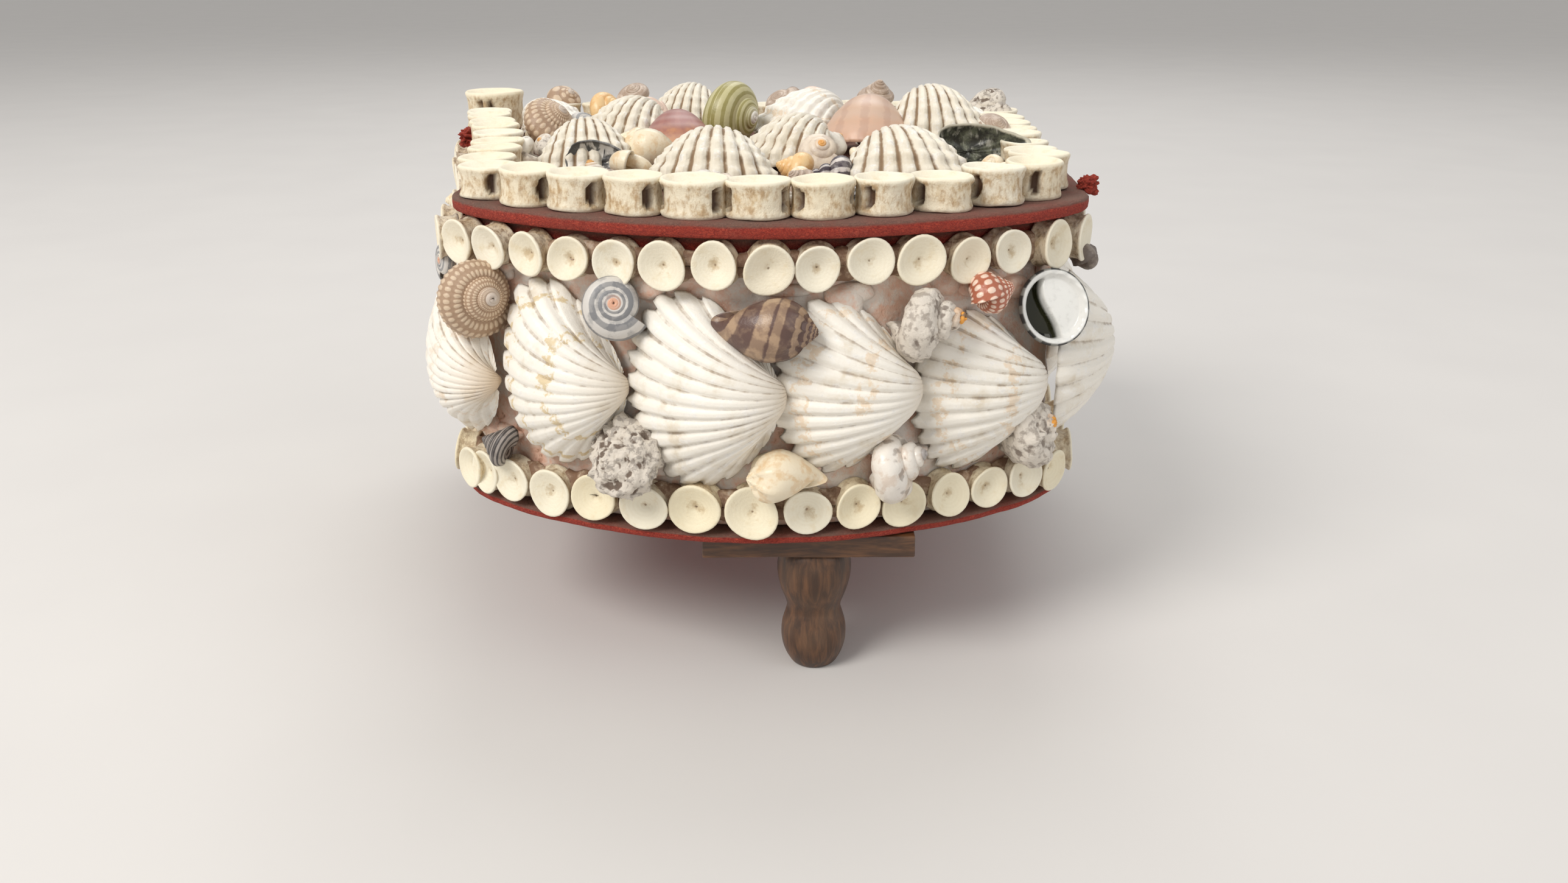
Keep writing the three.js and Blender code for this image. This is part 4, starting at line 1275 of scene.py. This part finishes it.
MAUVE = smooth_valve_finish(
    "mauve_valve", (0.3, 0.12, 0.1), (0.56, 0.27, 0.13), (0.4, 0.18, 0.14), 0.3
)
PEACH = smooth_valve_finish(
    "peach_valve", (0.57, 0.39, 0.28), (0.62, 0.38, 0.26), (0.43, 0.26, 0.19), 0.45
)
SMOOTH_VALVES = [
    # name, node, x, y, lift, heading, reach, half width, swell, seed, finish
    ("mauve", "lid_mauve_dome", -22, 50, 3.5, 95, 18, 10, 1.6, 901, MAUVE),
    ("peach", "lid_peach_dome", 26, 60, 3.2, 80, 23, 12.6, 1.75, 902, PEACH),
]
for label, node, x, y, lift, heading, reach, half, swell, seed, finish in SMOOTH_VALVES:
    piece = cockle(label + "_valve_on_lid", on_lid(x, y, lift, heading), reach, half, half, 19,
                   swell, seed, knees=(1.35, 1.35), relief=0.0, beads=0.0)
    settle(piece, "pink_shell", finish, node)
print("smooth valves in place")


# %% [markdown]
# A mussel valve leans on its long edge, its hollow side up and to the front. It is nearly black
# green, with pale streaks and a chipped rim. A smaller broken valve beside the left cockle is
# striped black and grey. Each is a shallow bowl: a sheet that runs from the outside of the bottom
# over the rim and back down the inside.

# %% Mussel and striped valve
def mussel_finish():
    f = Finish("mussel")
    inside, share = f.mark("inside"), f.mark("share")
    near = f.noise(2.2, 4, 0.65)
    streak = f.noise(1.3, 3, 0.6, scale=(1, 1, 0.4))
    dark = f.blend((0.03, 0.03, 0.024), (0.15, 0.16, 0.11), f.step(near, 0.4, 0.7))
    milky = f.blend(dark, (0.42, 0.41, 0.35), f.step(streak, 0.52, 0.68) * inside * 0.7)
    rim = f.step(share + (near - 0.5) * 0.12, 0.9, 0.97)
    colour = f.blend(milky, (0.62, 0.58, 0.47), rim * 0.85)
    return f.finish(colour, 0.25 + near * 0.3, near, 0.1, 0.6)


def striped_valve_finish():
    f = Finish("striped_broken_valve")
    near = f.noise(1.6, 4, 0.6)
    stripe = f.noise(2.6, 3, 0.6, scale=(1, 0.35, 0.35), twist=0.8)
    share = f.mark("share")
    colour = f.blend((0.55, 0.53, 0.49), (0.06, 0.06, 0.06), f.step(stripe, 0.46, 0.56))
    colour = f.blend(colour, (0.3, 0.28, 0.26), f.step(near, 0.5, 0.7) * 0.6)
    rim = f.step(share + (near - 0.5) * 0.14, 0.88, 0.95)
    return f.finish(f.blend(colour, (0.05, 0.045, 0.04), rim * 0.8), 0.4, near, 0.15, 0.7)


MUSSEL, STRIPED_VALVE = mussel_finish(), striped_valve_finish()


def bowl(name, matrix, long, wide, deep, wall=0.7, seed=0):
    def shape(u, v):
        angle = u * math.tau
        outside = np.clip(v / 0.5, 0, 1)
        share = np.where(v < 0.5, outside, np.clip((1 - v) / 0.5, 0, 1))
        chips = 1 + 0.05 * np.cos(angle * 3 + 1) + 0.04 * field(
            np.stack([np.cos(angle) * 3, np.sin(angle) * 3, angle * 0], -1), 0.7, seed)
        inner = (v >= 0.5) * 1.0
        reach = share**0.8 * chips
        x = (long - wall * inner) * reach * np.cos(angle) * (1 + 0.25 * np.cos(angle) * share)
        y = (wide - wall * inner) * reach * np.sin(angle)
        z = deep * (share**2.2 - 1) * chips + wall * inner * (1 - share * 0.8)
        points = np.column_stack([x, y, z])
        return moved(points * MM, matrix), {"inside": inner, "share": share}

    return skin(name, 88, 30, shape, FINE_MERGE)


BOWLS = [
    # name, slot, finish, x, y, lift, heading, lean, long, wide, deep, seed, nodes
    ("mussel_valve_on_lid", "dark_shell", MUSSEL, 49, 31, 6.0, 2, 56, 12.4, 5.8, 5.0, 31,
     ["lid_mussel_bowl"]),
    ("broken_striped_valve", "dark_shell", STRIPED_VALVE, -40, 19, 4.6, -12, 62, 8.2, 4.4, 3.8, 32,
     []),
]
for name, slot, finish, x, y, lift, heading, lean, long, wide, deep, seed, nodes in BOWLS:
    where = on_lid(x, y, lift, heading) @ Matrix.Rotation(math.radians(lean), 4, "X")
    settle(bowl(name, where, long, wide, deep, seed=seed), slot, finish, *nodes)
print("mussel valves in place")

# %% [markdown]
# The rest of the heap is small snails. The ones that stand out are listed; the gaps between them
# are then filled at random, and a place is skipped when a shell already lies there.

# %% Snails on the lid
LID_SNAILS = [
    # name, x, y, lift, aim, roll, radius, form, finish
    ("olive", -9, 70, 8.6, (0.85, -0.5, -0.05), -2.51, 12.0,
     dict(TURBAN, fine=60, around=40), OLIVE),
    ("beaded", -57, 68, 6.4, (0.65, -0.3, 0.7), 3.6, 9.6,
     dict(TURBAN, beads=(0.09, 28, 9), fine=110, around=46), BEADED_TAN),
    ("white_left", -57.5, 35, 3.6, (-0.8, -0.3, 0.35), 2.6, 5.6,
     dict(TURBAN, drop=1.2, pits=0.05, fine=30), WHITE_SNAIL),
    ("beige_dome", -29, 11.5, 3.0, (0.3, 0.5, 0.8), 0.8, 6.4, dict(FLAT, fine=30), CREAM_CONCH),
    ("beige_wing", -27, 34, 3.6, (-0.9, -0.1, 0.5), 2.0, 7.0, CONCH, CREAM_CONCH),
    ("orange_front", 6.6, 14.5, 2.6, (-0.9, -0.1, 0.3), 0.2, 4.4, STUBBY, ORANGE_SNAIL),
    ("white_orange", 13, 25, 4.8, (0.1, -0.7, 0.7), 3.4, 6.6, dict(TURBAN, fine=36), ORANGE_TIPPED),
    ("striped", 14.6, 4.6, 2.6, (-1, -0.2, -0.06), 2.6, 4.9, dict(TALL, fine=40), STRIPED_DARK),
    ("tan_back", -60, 112, 7.4, (0.5, -0.4, 0.75), 3.0, 7.0, dict(TURBAN, beads=(0.05, 20, 6)),
     BEADED_TAN),
    ("orange_back", -47, 106, 6.0, (0.7, -0.4, 0.5), 3.0, 6.6, TURBAN, ORANGE_SNAIL),
    ("grey_back", -39, 110, 8.4, (-0.2, -0.5, 0.8), 3.0, 7.4, TURBAN, BROWN_GREY),
    ("brown_back", 32, 106, 9.8, (0.1, -0.4, 0.9), 3.0, 7.2, TOP, BROWN_GREY),
    ("dark_middle", 20, 86, 6.0, (0.6, -0.2, 0.6), 3.4, 6.4, FLAT, DARK_SNAIL),
    ("white_right", 64, 100, 7.4, (-0.3, -0.4, 0.8), 3.0, 8.2, dict(TURBAN, pits=0.06),
     CHALKY_PLAIN),
    ("beige_right", 59, 62, 4.8, (0.2, -0.6, 0.7), 3.4, 7.4, dict(TURBAN, fine=30), BROWN_GREY),
    ("tan_right", 55, 47, 4.2, (0.3, -0.4, 0.8), 3.4, 5.6, FLAT, CREAM_CONCH),
    ("rust_left", -31, 78, 8.6, (0.6, -0.3, 0.7), 3.9, 5.6, FLAT, PINK_BEADED),
    ("blue_left", -49, 74, 4.4, (0.5, -0.4, 0.7), 3.0, 6.4, FLAT, BLUE_GREY),
    ("pale_middle", 17, 45, 4.0, (0.6, 0.3, 0.7), 3.0, 5.2, TURBAN, WHITE_SNAIL),
    ("mauve_back", 14, 106, 8.6, (0.4, -0.4, 0.8), 3.0, 6.0, TURBAN, PINK_BEADED),
    ("brown_far", 4, 102, 8.0, (-0.4, -0.4, 0.8), 3.0, 6.4, FLAT, BROWN_GREY),
    ("cream_far", 48, 102, 5.6, (0.4, 0.4, 0.8), 3.0, 5.6, TOP, CREAM_CONCH),
]
LID_SNAIL_NODES = {"olive": "lid_olive_top_shell", "beaded": "lid_beaded_snail"}
for label, x, y, lift, aim, roll, radius, form, finish in LID_SNAILS:
    where = aimed(on_lid(x, y, lift), aim, roll)
    node = LID_SNAIL_NODES.get(label)
    snail("snail_on_lid_" + label, where, radius, form, finish, int(x - y) + 300, node)


def inside(line, spot):
    """Whether a line of points winds round a spot."""
    away = line - spot
    angles = np.arctan2(away[:, 1], away[:, 0])
    return abs(np.sum(np.angle(np.exp(1j * np.diff(angles))))) > math.pi


BED_INSET, TRIES = 18.5, 2500
# Each spot already taken: its place and the room round it.
taken = [(row[2], row[3], max(row[8], row[7] * 0.5)) for row in LID_VALVES]
taken += [(row[1], row[2], row[6] * 0.7) for row in LID_SNAILS]
taken += [(row[2], row[3], int(row[7])) for row in SMOOTH_VALVES]
taken += [(row[3], row[4], int(row[8] * 0.75)) for row in BOWLS]
bed = PlanLine(BED_INSET)
loose = np.random.default_rng(44)
fillers = 0
for _ in range(TRIES):
    spot = np.array([loose.uniform(-80, 64), loose.uniform(-22, 110)])
    radius = loose.uniform(3.6, 6.0)
    picks = loose.integers(0, 1000, 2)
    aim = (loose.uniform(-0.8, 0.8), loose.uniform(-0.8, 0.4), 0.7)
    roll = loose.uniform(2.6, 3.8)
    if not inside(bed.line, spot + SHIFT):
        continue
    if any(math.dist(spot, (x, y)) < room + radius * 0.75 for x, y, room in taken):
        continue
    taken.append((*spot, radius * 0.8))
    form = FORMS[picks[0] % len(FORMS)]
    if form["drop"] > 1.2:
        radius *= 0.75
    where = aimed(on_lid(*spot, radius * 0.5), aim, roll)
    piece = spiral(f"small_snail_on_lid_{fillers:02d}", where, radius, **form, fine=20, around=20,
                   pits=0.07 * (picks[0] % 2), seed=fillers)
    settle(piece, "snail_shell", PALETTE[picks[1] % len(PALETTE)])
    fillers += 1
print("small snails between them", fillers)
print("snails on the lid", len(LID_SNAILS))

# %% [markdown]
# ## Glue
# The shells sit in glue. A rough bead of it runs behind each row of bones, and lumps have set in
# the gaps between the shells. A lump is a small ball, flattened against the wall and pushed about.

# %% Glue beads and lumps
BEAD_INSET, BEAD_THICK = 4.4, 1.9
LUMP_COUNT, LUMP_LEVELS = 110, [50.5, 52, 84, 87, 88.5]


def glue_bead(name, height, high, seed):
    line = PlanLine(BEAD_INSET)

    def shape(u, v):
        distance = u * line.length
        spot, along = line.point(distance), line.along(distance)
        turn = v * math.tau
        middle = np.column_stack([spot, np.full(len(u), height)])
        lumps = 1 + 0.3 * field(middle, 5, seed)
        lumps = lumps + 0.2 * field(middle + v[:, None] * 4, 1.6, seed + 1)
        out = BEAD_THICK * np.cos(turn) * lumps
        points = np.column_stack([
            spot[:, 0] + along[:, 1] * out, spot[:, 1] - along[:, 0] * out,
            height + high * np.sin(turn) * lumps,
        ])
        return points * MM, {}

    return settle(skin(name, 700, 14, shape), "plaster_coat", GLUE)


def glue_finish():
    f = Finish("old_glue")
    near, fine = f.noise(2.5, 4, 0.65), f.noise(0.6, 3, 0.6)
    colour = f.blend((0.19, 0.105, 0.06), (0.42, 0.3, 0.2), f.step(near, 0.42, 0.66))
    colour = f.blend(colour, (0.5, 0.44, 0.37), f.step(near + fine * 0.4, 0.75, 0.95) * 0.7)
    return f.finish(colour, 0.5 + near * 0.3, near + fine * 0.4, 0.35, 0.8)


GLUE = glue_finish()
glue_bead("glue_behind_upper_row", 93.4, 3.1, 41)
glue_bead("glue_behind_lower_row", 42.4, 3.6, 42)

clear_selection()
bpy.ops.mesh.primitive_ico_sphere_add(subdivisions=3, radius=MM)
first_lump = bpy.context.object
lumps = []
loose = np.random.default_rng(700)
for k in range(LUMP_COUNT):
    distance = loose.uniform(0, FACES.length)
    level = loose.choice(LUMP_LEVELS) + loose.uniform(-1.5, 1.5)
    wide, tall = loose.uniform(2.5, 6), loose.uniform(1.5, 3.2)
    lump = as_copy(first_lump, f"glue_lump_{k:03d}")
    place = FACES.place(distance, level, -WALL_INSET)
    points = read_points(lump) / MM
    points *= 1 + 0.3 * field(points + k * 5.0, 0.8, 9)[:, None]
    points *= np.array([wide, tall, loose.uniform(1.0, 2.4)])
    write_points(lump, moved(points * MM, place))
    lumps.append(lump)
bpy.data.objects.remove(first_lump)
glue_lumps = joined("glue_lumps_on_wall", lumps)
glue_lumps.data.polygons.foreach_set("use_smooth", [True] * len(glue_lumps.data.polygons))
settle(glue_lumps, "plaster_coat", PLASTER)
print("glue", len(glue_lumps.data.polygons), "faces in lumps")

# %% [markdown]
# Two red scraps have come loose from the felt: one beside the large corner bone and a tuft at the
# right end of the lid. Each is a ball pulled about until it is ragged.

# %% Felt scraps
SCRAPS = [
    # name, place on the plan and height, reach each way
    ("corner_scrap", (-79.3, 73.7, 104.4), (3.2, 6.0, 2.4)),
    ("edge_tuft", (71.4, 4.7, 103.0), (2.2, 1.6, 1.9)),
]
for label, spot, reach in SCRAPS:
    clear_selection()
    bpy.ops.mesh.primitive_ico_sphere_add(subdivisions=5, radius=1)
    scrap = bpy.context.object
    scrap.name = scrap.data.name = "felt_" + label
    points = read_points(scrap)
    ragged = 1 + 0.45 * field(points + 3, 0.6, 12) + 0.3 * field(points, 0.18, 13)
    points = points * ragged[:, None] * np.array(reach) + np.array(spot) + [*SHIFT, 0]
    write_points(scrap, points * MM)
    bpy.ops.object.shade_smooth()
    settle(scrap, "felt", FELT)
print("felt scraps in place")

# %% [markdown]
# ## Stage, light and camera
# The floor is plain, pale and wide. The light is that of a bright room: one large soft lamp from
# the left and front, a weaker one from the right, and an even glow from all round. The camera
# looks down at the front of the box.

# %% Stage, light and camera
def stage_finish():
    f = Finish("pale_floor")
    cloud = f.noise(60, 2, 0.5)
    return f.finish(f.blend((0.66, 0.64, 0.615), (0.62, 0.6, 0.58), cloud), 0.9)


FLOOR_RADIUS = 14  # metres, so that its edge never shows
clear_selection()
bpy.ops.mesh.primitive_circle_add(vertices=96, radius=FLOOR_RADIUS, fill_type="TRIFAN")
floor = bpy.context.object
floor.name = floor.data.name = "pale_floor"
floor.data.materials.append(stage_finish())


def area_light(name, place, target, size, watts, colour):
    lamp = bpy.data.lights.new(name, "AREA")
    lamp.shape, lamp.size, lamp.energy, lamp.color = "DISK", size, watts, colour
    holder = bpy.data.objects.new(name, lamp)
    bpy.context.scene.collection.objects.link(holder)
    direction = Vector(target) - Vector(place)
    holder.location = place
    holder.rotation_euler = direction.to_track_quat("-Z", "Y").to_euler()
    return holder


area_light("window_left", (-0.75, -0.75, 1.0), (0, 0, 0.07), 0.7, 14, (1, 0.97, 0.93))
area_light("soft_right", (1.0, -0.6, 0.7), (0, 0, 0.07), 0.9, 2.5, (0.97, 0.98, 1))
area_light("sky_back", (0.1, 0.9, 1.3), (0, 0, 0.08), 1.0, 7, (1, 1, 1))
world = bpy.data.worlds.new("soft_room")
world.use_nodes = True
world.node_tree.nodes["Background"].inputs["Color"].default_value = (0.95, 0.94, 0.93, 1)
world.node_tree.nodes["Background"].inputs["Strength"].default_value = 0.6
bpy.context.scene.world = world
bpy.context.scene.view_settings.view_transform = "Standard"

CAMERA_IN_PLAN, CAMERA_HEIGHT, CAMERA_DOWN = (4.7, -278), 0.15, 20.8
camera_data = bpy.data.cameras.new("front_camera")
camera_data.lens, camera_data.sensor_width = 29.35, 36
camera_data.clip_start, camera_data.clip_end = 0.01, 20
camera = bpy.data.objects.new("front_camera", camera_data)
bpy.context.scene.collection.objects.link(camera)
camera.location = (*(CAMERA_IN_PLAN + SHIFT) * MM, CAMERA_HEIGHT)
camera.rotation_euler = (math.radians(90 - CAMERA_DOWN), 0, 0)
bpy.context.scene.camera = camera
print("camera at", [round(c, 4) for c in camera.location])
